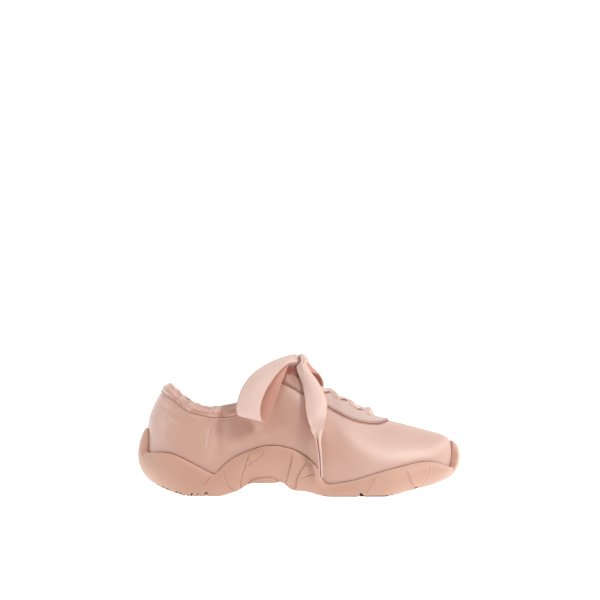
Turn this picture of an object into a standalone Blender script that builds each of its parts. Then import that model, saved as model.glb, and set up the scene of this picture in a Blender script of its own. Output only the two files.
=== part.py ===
"""Ballet sneaker, the right shoe of a pair, standing empty on its sole.

Toe towards +X, up +Z, the outer (lateral) side of the foot towards -Y.
Every surface of the shoe comes from one form of the foot, `form`, which is a
ring of ribs: each rib is a curve that starts on the feather edge (where the
upper turns under the foot), runs up the side and ends on the top line: the
collar, the edge of the throat, or the ridge of the vamp.  The ring angle `a`
is 0 at the back of the heel and +-pi at the toe; minus is the lateral side.
"""

import math

import bmesh
import bpy
import numpy as np

# ------------------------------------------------------------------ sizes, m
LENGTH = 0.264  # back of the heel to the tip of the toe
BALL_WIDTH = 0.092  # sole, across the ball of the foot
INSTEP_HEIGHT = 0.100  # ground to the top of the lace stay
HEEL_HEIGHT = 0.0925  # ground to the tip of the heel collar
WALL = 0.0018  # satin, padding and lining of the upper
GAP = 0.0003  # between neighbouring pieces
STAY = 0.0013  # thickness of the lace stay
CASING = 0.0015  # thickness of the elastic collar casing
TONGUE = 0.0024  # thickness of the tongue
TONGUE_PROUD = 0.010  # how far it stands past the top of the throat
INSOLE = 0.0030
SOLE_EDGE = 0.0012  # thickness of the sole's wall at its top edge
SOLE_LIP = 0.0040  # height over which that wall rounds out to its full thickness
RIBBON = 0.0010  # thickness of the ribbon lace
RIBBON_WIDTH = 0.020

# The tables hold millimetres on a form 263.3 long, 95.1 wide, 100 high at the
# instep and 92.5 at the heel, and stretch with the four sizes above.
X_SCALE = LENGTH / 263.3
Y_SCALE = BALL_WIDTH / 95.1
Z_INSTEP = INSTEP_HEIGHT / 100.0
Z_HEEL = HEEL_HEIGHT / 92.5
MIDDLE = (131.40, 2.30)  # x and y in the tables that stand over the origin


def table(columns, *rows):
    names = columns.split()
    return {n: np.array([row[i] for row in rows], float) for i, n in enumerate(names)}


# Feather edge: where the upper meets the floor of the sole.
#                 x      half  centre  z
FEATHER = table(
    "x half centre z",
    (9.0, 0.0, 0.0, 16.8),
    (11.0, 9.7, 0.0, 16.8),
    (18.0, 19.8, 0.0, 16.6),
    (30.0, 26.0, 0.0, 16.1),
    (45.0, 28.3, -0.1, 15.5),
    (65.0, 28.2, -0.6, 15.2),
    (85.0, 26.8, -1.8, 15.2),
    (105.0, 26.8, -3.0, 15.2),
    (125.0, 29.2, -3.4, 13.8),
    (145.0, 33.8, -2.6, 9.8),
    (165.0, 38.2, -1.0, 7.6),
    (180.0, 40.6, 0.8, 7.3),
    (192.0, 41.0, 2.2, 7.3),
    (205.0, 39.4, 3.8, 7.6),
    (220.0, 35.2, 5.8, 9.2),
    (235.0, 29.8, 8.0, 12.8),
    (247.0, 22.4, 9.6, 17.4),
    (253.0, 14.2, 10.3, 20.3),
    (256.0, 0.0, 10.6, 21.5),
)

# Ribs: where each one ends (top) and how it leaves the feather edge and
# arrives.  flare and lean are degrees from upright, out and in; reach and
# draw are the pulls of the curve's ends, in shares of its chord.  half is how
# far the end stands from the ridge (0 where the form closes over the foot),
# crest the offset of the ridge to the medial side, slope the ridge's fall.
#               foot    top    half  crest   z     flare reach lean  draw slope
RIBS = table(
    "foot top half crest z flare reach lean draw slope",
    (9.0, 26.0, 0.0, 0.0, 92.5, 10.0, 0.35, 49.0, 0.35, 0.0),
    (11.0, 27.6, 7.4, 0.0, 91.0, 10.0, 0.35, 44.0, 0.34, 0.0),
    (18.0, 33.0, 15.6, 0.0, 85.6, 10.0, 0.35, 34.0, 0.33, 0.0),
    (30.0, 42.0, 21.4, 0.0, 78.6, 9.0, 0.36, 26.0, 0.33, 0.0),
    (45.0, 53.5, 24.6, 0.0, 73.5, 8.0, 0.37, 20.0, 0.33, 0.0),
    (65.0, 67.5, 25.9, 0.0, 73.7, 7.0, 0.38, 18.0, 0.34, 0.0),
    (85.0, 81.5, 25.0, 0.0, 76.8, 7.0, 0.38, 20.0, 0.35, 0.0),
    (105.0, 97.5, 22.6, 0.2, 84.4, 8.0, 0.38, 26.0, 0.36, -0.10),
    (125.0, 115.0, 18.7, 0.6, 95.6, 10.0, 0.39, 36.0, 0.36, -0.30),
    (132.5, 121.8, 17.0, 0.8, 98.7, 10.5, 0.39, 42.0, 0.36, -0.42),
    (145.0, 134.5, 12.0, 1.2, 95.4, 12.0, 0.40, 58.0, 0.36, -0.50),
    (160.0, 151.0, 5.0, 1.8, 87.8, 13.0, 0.42, 76.0, 0.36, -0.50),
    (172.0, 165.5, 1.0, 2.4, 80.4, 13.5, 0.43, 87.0, 0.37, -0.50),
    (182.0, 177.5, 0.0, 3.1, 73.0, 14.0, 0.43, 90.0, 0.37, -0.48),
    (192.0, 189.5, 0.0, 3.8, 65.6, 15.0, 0.43, 90.0, 0.38, -0.38),
    (205.0, 203.0, 0.0, 4.8, 61.5, 16.0, 0.44, 90.0, 0.38, -0.26),
    (220.0, 217.0, 0.0, 6.2, 58.2, 19.0, 0.46, 90.0, 0.38, -0.26),
    (235.0, 228.5, 0.0, 7.8, 55.2, 19.0, 0.52, 90.0, 0.37, -0.27),
    (247.0, 234.2, 0.0, 9.0, 53.6, 15.0, 0.64, 90.0, 0.37, -0.26),
    (253.0, 236.2, 0.0, 9.8, 53.1, 12.5, 0.72, 90.0, 0.38, -0.25),
    (256.0, 236.5, 0.0, 10.0, 53.0, 12.0, 0.75, 90.0, 0.38, -0.24),
)
# Throat: half width of the slot the tongue lies under, closed by a round end.
THROAT = table(
    "x half",
    (112.0, 19.6),
    (121.0, 17.2),
    (134.5, 14.8),
    (150.0, 13.0),
    (165.0, 12.0),
    (180.0, 11.4),
    (192.0, 11.0),
)
THROAT_END = 190.0  # front of the throat, where its round end closes
THROAT_ROUND = 15.0  # length of that round end

# Lower edge of the lace stay and of the collar casing, seen from the side.
STAY_EDGE = table(
    "x z",
    (114.0, 93.2),
    (117.3, 91.5),
    (124.8, 87.7),
    (134.5, 83.2),
    (145.0, 77.4),
    (154.2, 72.1),
    (161.0, 68.5),
    (167.3, 65.1),
    (173.5, 62.4),
    (179.8, 60.4),
    (186.0, 59.2),
    (192.4, 58.6),
    (198.6, 59.2),
    (204.2, 61.6),
)
CASING_EDGE = table(
    "x z",
    (14.0, 87.5),
    (20.5, 83.0),
    (26.7, 78.6),
    (33.5, 73.4),
    (39.5, 69.0),
    (48.4, 65.6),
    (60.6, 63.2),
    (74.2, 63.2),
    (86.0, 66.6),
    (98.0, 74.0),
    (109.0, 83.6),
    (117.3, 91.5),
)
STAY_BACK = 118.0  # where the casing stops and the lace stay starts
TONGUE_OUT = 121.8  # where the tongue comes out of the top of the throat

# Bottom edge of the sole, all the way round.
#               x      half  centre  z
TREAD = table(
    "x half centre z",
    (10.5, 0.0, 0.0, 11.3),
    (13.0, 10.5, 0.0, 10.2),
    (20.0, 19.5, 0.0, 6.6),
    (31.0, 25.8, 0.0, 2.4),
    (42.0, 28.6, -0.1, 0.0),
    (54.0, 29.6, -0.4, 0.0),
    (66.0, 29.4, -0.8, 0.0),
    (76.0, 28.4, -1.3, 2.6),
    (83.0, 27.4, -1.8, 5.2),
    (90.0, 26.6, -2.3, 9.6),
    (97.0, 26.2, -2.7, 10.6),
    (112.0, 27.4, -3.3, 10.9),
    (118.5, 28.6, -3.4, 10.6),
    (123.0, 29.8, -3.4, 6.8),
    (134.0, 33.4, -3.1, 4.4),
    (145.0, 37.0, -2.6, 2.0),
    (155.0, 39.8, -1.9, 0.0),
    (167.0, 42.4, -0.8, 0.0),
    (180.0, 43.8, 0.8, 0.0),
    (192.0, 43.6, 2.2, 0.0),
    (200.0, 42.6, 3.2, 0.0),
    (212.0, 39.4, 4.8, 2.4),
    (225.0, 33.4, 6.6, 5.5),
    (237.0, 26.4, 8.4, 8.4),
    (245.0, 18.4, 9.6, 10.9),
    (250.0, 0.0, 10.4, 12.7),
)
# Top line of the sole's wall, seen from the side: the heel wave falls into a
# sharp dip, and the arch wave rises out of it and runs on to the toe.
HEEL_WAVE = table(
    "x z",
    (6.0, 34.8),
    (13.1, 35.4),
    (26.7, 35.1),
    (33.5, 32.7),
    (40.2, 29.4),
    (47.0, 25.9),
    (53.8, 22.2),
    (63.1, 17.5),
)
ARCH_WAVE = table(
    "x z",
    (63.1, 17.5),
    (67.4, 22.2),
    (74.2, 28.6),
    (81.0, 33.0),
    (89.9, 36.9),
    (100.0, 40.3),
    (110.1, 41.4),
    (120.0, 40.2),
    (129.9, 36.8),
    (136.9, 32.6),
    (143.1, 27.0),
    (147.0, 20.8),
    (150.4, 13.8),
    (154.2, 10.6),
    (161.0, 10.7),
    (173.5, 12.9),
    (190.2, 17.9),
    (207.0, 22.7),
    (226.7, 27.4),
    (234.6, 28.3),
    (242.4, 27.2),
    (251.8, 23.9),
    (262.0, 22.6),
)
# Raised bumpers at the two ends of the sole.
HEEL_BUMPER = {"half": 9.2, "top": 55.0, "foot": 35.2, "power": 2.8}
TOE_BUMPER = {"half": 12.5, "top": 44.5, "foot": 23.2, "power": 2.8}
# Wall of the sole: flare at the bottom, lean at the top, pulls of the ends.
WALLS = table(
    "x flare reach lean draw",
    (9.0, 50.0, 0.46, 27.0, 0.34),
    (18.0, 40.0, 0.42, 26.0, 0.34),
    (45.0, 30.0, 0.38, 24.0, 0.36),
    (105.0, 26.0, 0.36, 22.0, 0.36),
    (150.0, 30.0, 0.36, 24.0, 0.36),
    (192.0, 34.0, 0.38, 28.0, 0.36),
    (235.0, 52.0, 0.42, 40.0, 0.38),
    (256.0, 74.0, 0.47, 62.0, 0.40),
)
# Main breaks between the lugs, right across the sole: width at the ground,
# depth, and the share of the width that is left at the top of the break.
LUGS = table(
    "x width depth top",
    (35.4, 1.8, 2.0, 0.6),
    (44.4, 1.8, 2.4, 0.6),
    (49.8, 1.8, 2.4, 0.6),
    (56.6, 3.6, 2.8, 0.5),
    (181.2, 6.4, 3.2, 0.1),
    (205.5, 2.0, 1.6, 0.6),
    (226.8, 5.0, 2.6, 0.5),
)

# Ribbon: eyelet rows along the throat, and the bow above them.
EYELET_ROWS = (186.5, 174.5, 162.0, 149.0, 136.0)
EYELET_INSET = 4.6  # from the throat's edge
EYELET_PAD = 2.2  # ribbon beyond the eyelet's middle
RISE = 0.0062  # of the last crossing, to the knot
KNOT = {"x": 133.6, "y": -1.0, "z": 110.4, "long": 9.4, "wide": 9.0, "high": 10.4}
# Loops and ends, a row for each place they bend.  turn and tip are the
# degrees that the ribbon's width points to the side (from +X towards +Y) and
# up; width is in millimetres.
LOOP_NEAR = table(
    "x y z turn tip width",
    (127.6, -6.2, 110.8, -10.0, -84.0, 7.5),
    (119.0, -15.0, 109.0, -8.0, -72.0, 10.5),
    (111.0, -24.5, 104.2, -4.0, -58.0, 13.5),
    (104.0, -33.0, 98.4, 0.0, -47.0, 16.0),
    (97.6, -40.0, 91.0, 0.0, -36.0, 18.5),
    (92.8, -45.0, 82.2, 0.0, -25.0, 19.6),
    (90.4, -47.6, 73.4, 0.0, -17.0, 20.0),
    (90.2, -47.4, 67.4, 0.0, -14.0, 20.0),
    (90.9, -45.4, 63.4, 0.0, -13.0, 20.0),
    (91.8, -42.4, 62.2, 0.0, -13.0, 20.0),
    (92.9, -39.6, 64.0, 0.0, -13.5, 20.0),
    (95.4, -37.4, 69.6, 0.0, -15.0, 20.0),
    (99.4, -36.0, 77.4, 0.0, -17.0, 20.0),
    (103.4, -34.0, 86.4, 2.0, -20.0, 19.6),
    (108.2, -29.6, 95.6, 6.0, -26.0, 17.0),
    (115.4, -22.4, 103.4, 14.0, -38.0, 12.0),
    (124.0, -13.4, 108.6, 20.0, -56.0, 7.0),
)
LOOP_FAR = table(
    "x y z turn tip width",
    (137.4, 4.6, 111.6, 10.0, 80.0, 6.5),
    (139.6, 13.0, 109.0, 12.0, 52.0, 10.0),
    (141.4, 22.0, 103.0, 8.0, 34.0, 14.5),
    (142.2, 30.5, 94.6, 4.0, 22.0, 18.0),
    (142.8, 38.0, 84.0, 0.0, 14.0, 20.0),
    (143.4, 43.4, 73.0, 0.0, 10.0, 20.0),
    (143.8, 45.2, 65.0, 0.0, 8.0, 20.0),
    (143.8, 43.6, 61.2, 0.0, 8.0, 20.0),
    (143.6, 40.8, 60.0, 0.0, 8.0, 20.0),
    (143.4, 38.6, 61.8, 0.0, 8.0, 20.0),
    (142.4, 37.8, 68.4, 0.0, 10.0, 20.0),
    (141.4, 36.6, 77.6, 0.0, 12.0, 20.0),
    (140.4, 33.2, 87.0, 0.0, 16.0, 18.5),
    (139.6, 26.6, 96.4, -4.0, 26.0, 14.0),
    (138.8, 17.6, 103.8, -8.0, 40.0, 10.0),
    (137.0, 8.6, 107.8, -10.0, 60.0, 6.5),
)
TAIL_NEAR = table(
    "x y z turn tip width",
    (134.4, -8.0, 110.8, 0.0, 20.0, 8.0),
    (138.2, -14.6, 104.2, 2.0, 26.0, 11.5),
    (142.4, -22.4, 95.8, 4.0, 24.0, 15.5),
    (145.2, -30.2, 87.0, 3.0, 14.0, 18.0),
    (146.0, -37.0, 77.6, 0.0, 6.0, 18.6),
    (146.2, -41.6, 67.6, -4.0, 0.0, 17.0),
    (146.6, -44.6, 57.6, -14.0, 0.0, 13.5),
    (146.9, -46.8, 49.6, -46.0, 0.0, 12.0),
    (147.2, -49.0, 41.6, -82.0, 0.0, 12.0),
    (148.0, -51.4, 29.0, -88.0, 0.0, 12.0),
    (149.2, -52.4, 14.6, -86.0, 0.0, 12.0),
)
TAIL_FAR = table(
    "x y z turn tip width",
    (128.6, 7.4, 110.0, 0.0, -20.0, 7.0),
    (122.4, 16.4, 108.4, 2.0, -26.0, 10.0),
    (115.4, 26.4, 103.0, 4.0, -24.0, 14.0),
    (110.4, 33.0, 92.6, 3.0, -14.0, 18.0),
    (107.6, 35.6, 80.0, 0.0, -8.0, 20.0),
    (106.0, 37.8, 68.0, 0.0, -4.0, 20.0),
    (105.4, 39.4, 55.0, 0.0, -2.0, 20.0),
    (105.0, 41.0, 42.0, 0.0, 0.0, 20.0),
    (105.2, 42.2, 30.0, 0.0, 0.0, 20.0),
    (105.6, 43.0, 18.0, 0.0, 0.0, 20.0),
)
RING_STEPS = 30  # columns on each side of the ring, before the marked ones
ROWS = np.array([0, 0.08, 0.18, 0.29, 0.41, 0.54, 0.67, 0.79, 0.90, 1.0])

COLOURS = {
    "satin": (0.78, 0.53, 0.44, 1.0),
    "lining": (0.74, 0.50, 0.41, 1.0),
    "rubber": (0.62, 0.36, 0.25, 1.0),
    "ribbon": (0.84, 0.62, 0.54, 1.0),
}


# ---------------------------------------------------------------- the curves
def spline(x, y, flat=False):
    """A cubic through the points.  flat: it arrives level at both ends."""
    n, h = len(x), np.diff(x)
    grid, right = np.eye(n), np.zeros(n)
    for i in range(1, n - 1):
        grid[i, i - 1 : i + 2] = h[i - 1], 2 * (h[i - 1] + h[i]), h[i]
        right[i] = 6 * ((y[i + 1] - y[i]) / h[i] - (y[i] - y[i - 1]) / h[i - 1])
    if flat:
        grid[0, :2], right[0] = (2 * h[0], h[0]), 6 * (y[1] - y[0]) / h[0]
        grid[-1, -2:], right[-1] = (h[-1], 2 * h[-1]), -6 * (y[-1] - y[-2]) / h[-1]
    bend = np.linalg.solve(grid, right)

    def value(q):
        q = np.clip(q, x[0], x[-1])
        i = np.clip(np.searchsorted(x, q) - 1, 0, n - 2)
        a, b, s = x[i + 1] - q, q - x[i], h[i]
        return (
            (bend[i] * a**3 + bend[i + 1] * b**3) / (6 * s)
            + (y[i] / s - bend[i] * s / 6) * a
            + (y[i + 1] / s - bend[i + 1] * s / 6) * b
        )

    return value


def angle_at(x, start, end):
    """The ring angle at which an outline from start to end reaches x."""
    return np.arccos(np.clip(1 - 2 * (x - start) / (end - start), -1, 1))


def ring_splines(t, key, odd=("half",)):
    """Each column of a table as a function of the ring angle."""
    a = angle_at(t[key], t[key][0], t[key][-1])
    return {
        n: spline(a, t[n], flat=n not in odd) for n in t if n != key
    }, (t[key][0], t[key][-1])


FEATHER_AT, FEATHER_ENDS = ring_splines(FEATHER, "x")
RIBS_AT, _ = ring_splines(RIBS, "foot")
THROAT_LINE = spline(THROAT["x"], THROAT["half"])
TREAD_AT, TREAD_ENDS = ring_splines(TREAD, "x")
WALLS_AT, _ = ring_splines(WALLS, "x")
STAY_LINE = spline(STAY_EDGE["x"], STAY_EDGE["z"])
CASING_LINE = spline(CASING_EDGE["x"], CASING_EDGE["z"])
HEEL_LINE = spline(HEEL_WAVE["x"], HEEL_WAVE["z"])
ARCH_LINE = spline(ARCH_WAVE["x"], ARCH_WAVE["z"])


def outline(a, columns, ends):
    """Points of a flat outline at ring angles a, and its outward direction."""

    def at(a):
        a = (a + math.pi) % (2 * math.pi) - math.pi
        b = np.abs(a)
        x = ends[0] + (ends[1] - ends[0]) * (1 - np.cos(b)) / 2
        y = columns["centre"](b) + np.sign(a) * columns["half"](b)
        return np.stack([x, y], -1)

    p, step = at(a), 1e-3
    t = at(a + step) - at(a - step)
    out = np.stack([-t[..., 1], t[..., 0]], -1)
    out /= np.linalg.norm(out, axis=-1, keepdims=True)
    return p, out


def height_scale(x):
    s = np.clip((x - 30) / 90, 0, 1)
    s = s * s * (3 - 2 * s)
    return Z_HEEL * (1 - s) + Z_INSTEP * s


def end_half(a):
    """How far the rib at ring angle a ends from the ridge, 0 on the ridge."""
    b = np.abs((a + math.pi) % (2 * math.pi) - math.pi)
    return np.clip(RIBS_AT["half"](b), 0, None) * (RIBS_AT["top"](b) < 177.4)


def ribs(a):
    """The four control points of the rib at each ring angle."""
    a = (a + math.pi) % (2 * math.pi) - math.pi
    b, side = np.abs(a), np.sign(a)
    foot, out = outline(a, FEATHER_AT, FEATHER_ENDS)
    v = {n: f(b) for n, f in RIBS_AT.items()}
    p0 = np.concatenate([foot, FEATHER_AT["z"](b)[..., None]], -1)
    p3 = np.stack([v["top"], v["crest"] + side * end_half(a), v["z"]], -1)
    chord = np.linalg.norm(p3 - p0, axis=-1)
    flare, lean = np.radians(v["flare"]), np.radians(v["lean"])
    zero, one = np.zeros_like(a), np.ones_like(a)
    d0 = np.sin(flare)[..., None] * np.stack([out[..., 0], out[..., 1], zero], -1)
    d0 = d0 + np.cos(flare)[..., None] * np.stack([zero, zero, one], -1)
    level = np.stack([-out[..., 0], -out[..., 1], -out[..., 0] * v["slope"]], -1)
    level /= np.linalg.norm(level, axis=-1, keepdims=True)
    d3 = np.sin(lean)[..., None] * level
    d3 = d3 + np.cos(lean)[..., None] * np.stack([zero, zero, one], -1)
    p1 = p0 + (v["reach"] * chord)[..., None] * d0
    p2 = p3 - (v["draw"] * chord)[..., None] * d3
    return p0, p1, p2, p3


def bezier(p, t):
    t = np.asarray(t)[..., None]
    s = 1 - t
    return s**3 * p[0] + 3 * s * s * t * p[1] + 3 * s * t * t * p[2] + t**3 * p[3]


def real(p):
    """Table millimetres to metres, stretched to the named sizes, with the
    origin on the ground under the middle of the shoe."""
    p = np.asarray(p, float)
    return np.stack(
        [
            (p[..., 0] - MIDDLE[0]) * X_SCALE,
            (p[..., 1] - MIDDLE[1]) * Y_SCALE,
            p[..., 2] * height_scale(p[..., 0]),
        ],
        -1,
    )


def form(a, t, off=0.0):
    """Point of the upper's outer surface at ring angle a and height share t,
    moved off metres along the outward normal."""
    a, t = np.broadcast_arrays(np.asarray(a, float), np.asarray(t, float))
    p = real(bezier(ribs(a), t))
    if np.ndim(off) == 0 and off == 0:
        return p
    return p + np.asarray(off)[..., None] * normal(a, t)


def normal(a, t):
    """Outward normal; on the ridge of the vamp, the mean of its two sides."""
    tc = np.clip(t, 0.0005, 0.9985)

    def one(a):
        da = real(bezier(ribs(a + 1e-3), tc)) - real(bezier(ribs(a - 1e-3), tc))
        dt = real(bezier(ribs(a), tc + 5e-4)) - real(bezier(ribs(a), tc - 5e-4))
        n = np.cross(dt, da)
        return n / np.linalg.norm(n, axis=-1, keepdims=True)

    n = one(a)
    ridge = (np.asarray(t) > 0.999) & (end_half(a) < 1e-6)
    n = np.where(ridge[..., None], n + one(-a), n)
    return n / np.linalg.norm(n, axis=-1, keepdims=True)


def t_where(a, line):
    """Height share at which each rib first rises above a line z = line(x, y)."""
    t = np.linspace(0, 1, 401)
    p = bezier([q[:, None, :] for q in ribs(a)], t[None, :])
    over = p[..., 2] - line(p[..., 0], p[..., 1], np.asarray(a)[:, None])
    hit = over >= 0
    i = np.where(hit.any(1), hit.argmax(1), len(t) - 1)
    j = np.clip(i, 1, None)
    row = np.arange(len(a))
    f0, f1 = over[row, j - 1], over[row, j]
    w = np.where(np.abs(f1 - f0) > 1e-12, -f0 / np.where(f1 == f0, 1, f1 - f0), 0)
    found = t[j - 1] + np.clip(w, 0, 1) * (t[j] - t[j - 1])
    return np.where(hit.any(1), np.where(i == 0, 0.0, found), 1.0)


def edge_t(a):
    """Height share at which each rib reaches the edge of the throat or collar."""
    t = np.linspace(0.6, 1, 401)
    p = bezier([q[:, None, :] for q in ribs(a)], t[None, :])
    b = np.abs((a + math.pi) % (2 * math.pi) - math.pi)
    from_ridge = np.abs(p[..., 1] - RIBS_AT["crest"](b)[:, None])
    u = np.clip((p[..., 0] - (THROAT_END - THROAT_ROUND)) / THROAT_ROUND, 0, 1)
    slot = THROAT_LINE(p[..., 0]) * (1 - u**2.3) ** (1 / 2.3)
    over = np.where(p[..., 0] > 108, slot - from_ridge, -1.0)
    hit = (over > 0) & (RIBS_AT["top"](b) < THROAT_END - 1e-6)[:, None]
    i = np.where(hit.any(1), hit.argmax(1), len(t) - 1)
    row, j = np.arange(len(a)), np.clip(i, 1, None)
    f0, f1 = over[row, j - 1], over[row, j]
    w = np.clip(-f0 / np.where(np.abs(f1 - f0) < 1e-12, 1, f1 - f0), 0, 1)
    return np.where(hit.any(1), t[j - 1] + w * (t[j] - t[j - 1]), 1.0)


def angle_of_top(x):
    """Ring angle of the rib that ends at top x."""
    a = np.linspace(0, math.pi, 2001)
    return float(np.interp(x, RIBS_AT["top"](a), a))


# ------------------------------------------------------------------ the sole
def bumper_angle(b, toe):
    """How far round from its end of the sole a bumper reaches, as a ring angle."""
    a = np.linspace(0, math.pi / 2, 1001)
    a = math.pi - a if toe else a
    half = FEATHER_AT["half"](a)
    return float(np.interp(b["half"], half, np.linspace(0, math.pi / 2, 1001)))


def bumper(a, b, toe):
    a = np.abs((a + math.pi) % (2 * math.pi) - math.pi)
    u = np.clip((math.pi - a if toe else a) / bumper_angle(b, toe), 0, 1)
    rise = (b["top"] - b["foot"]) * (1 - u ** b["power"]) ** (1 / b["power"])
    return np.where(u < 1, b["foot"] + rise, -1e3)


def sole_line(x, y, a):
    """Height of the top line of the sole's wall."""
    z = np.where(x < 63.1, HEEL_LINE(x), ARCH_LINE(x))
    heel, toe = bumper(a, HEEL_BUMPER, False), bumper(a, TOE_BUMPER, True)
    return np.maximum(z, np.maximum(heel, toe))


def sole_reach(x, y, a):
    """A smooth line above sole_line, where the wall would thin out to nothing."""
    z = np.where(x < 63.1, HEEL_LINE(x), ARCH_LINE(x))
    heel = np.exp(-((y / 20.0) ** 4)) * np.exp(-((np.clip(x - 8, 0, None) / 26) ** 2))
    toe = np.exp(-(((y - 10) / 23.0) ** 4))
    toe = toe * np.exp(-((np.clip(256 - x, 0, None) / 24) ** 2))
    return z + 1.5 + 20.5 * heel + 21.0 * toe


def tread_z(b):
    """Height of the bottom edge: heel and forefoot lie flat on the ground."""
    return np.clip(TREAD_AT["z"](b), 0, None)


def sole_wall(a, v):
    """Outside of the sole: v 0 at the tread, 1 at the top line.  a is (K,), v (R,)."""
    base, out = outline(a, TREAD_AT, TREAD_ENDS)
    b = np.abs((a + math.pi) % (2 * math.pi) - math.pi)
    p0 = np.concatenate([base, tread_z(b)[..., None]], -1)
    t_top, t_reach = t_where(a, sole_line), t_where(a, sole_reach)
    p0 = real(p0)
    p3 = form(a, t_reach, GAP + SOLE_EDGE)
    w = {n: f(b) for n, f in WALLS_AT.items()}
    chord = np.linalg.norm(p3 - p0, axis=-1)
    flare, lean = np.radians(w["flare"]), np.radians(w["lean"])
    flat = np.concatenate([out, np.zeros_like(out[:, :1])], -1)
    up = np.array([0.0, 0.0, 1.0])
    p1 = p0 + (w["reach"] * chord)[:, None] * (
        np.sin(flare)[:, None] * flat + np.cos(flare)[:, None] * up
    )
    p2 = p3 - (w["draw"] * chord)[:, None] * (
        -np.sin(lean)[:, None] * flat + np.cos(lean)[:, None] * up
    )
    top = form(a, t_top)
    # the share of each wall curve that stays below the top line
    u = np.linspace(0, 1, 201)
    curve = bezier([q[:, None, :] for q in (p0, p1, p2, p3)], u[None, :])
    over = curve[..., 2] >= top[:, 2][:, None]
    cut = u[np.where(over.any(1), over.argmax(1), 200)]
    q = cut[:, None] * v[None, :]
    wall = bezier([c[:, None, :] for c in (p0, p1, p2, p3)], q)
    # round the wall in to a thin edge at the top line
    rim = form(a, t_top, GAP + SOLE_EDGE)
    down = (rim[:, None, 2] - wall[..., 2]) / SOLE_LIP
    k = np.clip(1 - down, 0, 1)
    k = 1 - np.sqrt(np.clip(1 - k * k, 0, 1))
    edge = form(a[:, None], heights_to_t(a, wall[..., 2], t_top), GAP + SOLE_EDGE)
    return wall * (1 - k[..., None]) + edge * k[..., None]


def heights_to_t(a, z, t_top):
    """Height share on rib a at height z metres, no higher than t_top."""
    t = np.linspace(0, 1, 101)[None, :] * t_top[:, None]
    h = form(a[:, None], t)[..., 2]
    return np.stack([np.interp(z[i], h[i], t[i]) for i in range(len(a))])


# ------------------------------------------------------------ making solids
def make(name, verts, faces, material):
    """One closed body from loose faces: merge, drop empty faces, face out."""
    mesh = bpy.data.meshes.new(name)
    mesh.from_pydata([tuple(map(float, v)) for v in verts], [], faces)
    work = bmesh.new()
    work.from_mesh(mesh)
    bmesh.ops.remove_doubles(work, verts=work.verts, dist=0.00002)
    bmesh.ops.dissolve_degenerate(work, edges=work.edges, dist=0.00001)
    bmesh.ops.recalc_face_normals(work, faces=work.faces)
    if work.calc_volume(signed=True) < 0:
        bmesh.ops.reverse_faces(work, faces=work.faces)
    work.to_mesh(mesh)
    work.free()
    item = bpy.data.objects.new(name, mesh)
    PIECES.objects.link(item)
    mesh.materials.append(MATERIALS[material])
    return item


def shell(name, outer, inner, material, ring=False, rim=None):
    """A solid between two grids [columns, rows, xyz].  ring: the columns close
    on themselves.  rim: for each column, whether its last row is a free edge."""
    k, r = outer.shape[:2]
    verts = np.concatenate([outer.reshape(-1, 3), inner.reshape(-1, 3)])
    rim = np.ones(k, bool) if rim is None else rim
    faces = []
    for i in range(k if ring else k - 1):
        j = (i + 1) % k
        for s in range(r - 1):
            a, b, c, d = i * r + s, j * r + s, j * r + s + 1, i * r + s + 1
            faces += [(a, b, c, d), tuple(k * r + q for q in (d, c, b, a))]
        faces.append((i * r, k * r + i * r, k * r + j * r, j * r))
        if rim[i] and rim[j]:
            e, f = i * r + r - 1, j * r + r - 1
            faces.append((e, f, k * r + f, k * r + e))
    if not ring:
        for i in (0, k - 1):
            for s in range(r - 1):
                a, b = i * r + s, i * r + s + 1
                faces.append((a, b, k * r + b, k * r + a))
    return make(name, verts, faces, material)


def stack(name, rings, material):
    """A solid from rings [rows, columns, xyz], lateral columns matched with
    medial ones, closed at the first and last ring by strips across."""
    r, k = rings.shape[:2]
    faces = []
    for s in range(r - 1):
        for i in range(k):
            j = (i + 1) % k
            faces.append((s * k + i, s * k + j, (s + 1) * k + j, (s + 1) * k + i))
    half = k // 2
    for row, turn in ((0, 1), (r - 1, -1)):
        for i in range(half):
            quad = [row * k + q for q in (i, i + 1, (k - i - 1) % k, (k - i) % k)]
            faces.append(tuple(dict.fromkeys(quad[::turn])))
    return make(name, rings.reshape(-1, 3), faces, material)


def ring_angles():
    """Ring angles from the toe, round the lateral side, to just short of the
    toe again, the same on both sides, closer together where the outline turns."""
    a = np.linspace(0, math.pi, 2001)
    p, out = outline(a, FEATHER_AT, FEATHER_ENDS)
    step = np.linalg.norm(np.diff(p, axis=0), axis=1)
    turn = np.abs(np.diff(np.unwrap(np.arctan2(out[:, 1], out[:, 0]))))
    run = np.concatenate([[0], np.cumsum(step + 26 * turn)])
    side = np.interp(np.linspace(0, run[-1], RING_STEPS), run, a)
    # columns that have to stand on a corner of the outline of some piece
    marks = [float(angle_at(x, *FEATHER_ENDS)) for x in (63.1, 147.0, 153.5)]
    marks += [angle_of_top(x) for x in (STAY_BACK - 0.6, STAY_BACK, TONGUE_OUT)]
    marks += [angle_of_top(THROAT_END)]
    marks += [angle_of_top(x) for x in (THROAT_END - 3.5, THROAT_END - 0.9)]
    marks += [angle_of_top(x) for x in (194.5, 198.5, 202.0, 204.2)]
    for share in (0.70, 0.89, 0.975, 1.0):
        marks.append(share * bumper_angle(HEEL_BUMPER, False))
        marks.append(math.pi - share * bumper_angle(TOE_BUMPER, True))
    for mark in marks:
        near = np.abs(side - mark).argmin()
        if 0 < near < len(side) - 1 and abs(side[near] - mark) < 0.035:
            if not any(abs(side[near] - m) < 1e-9 for m in marks):
                side[near] = mark
                continue
        side = np.sort(np.append(side, mark))
    return np.concatenate([-side[::-1][:-1], side[:-1]])


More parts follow.
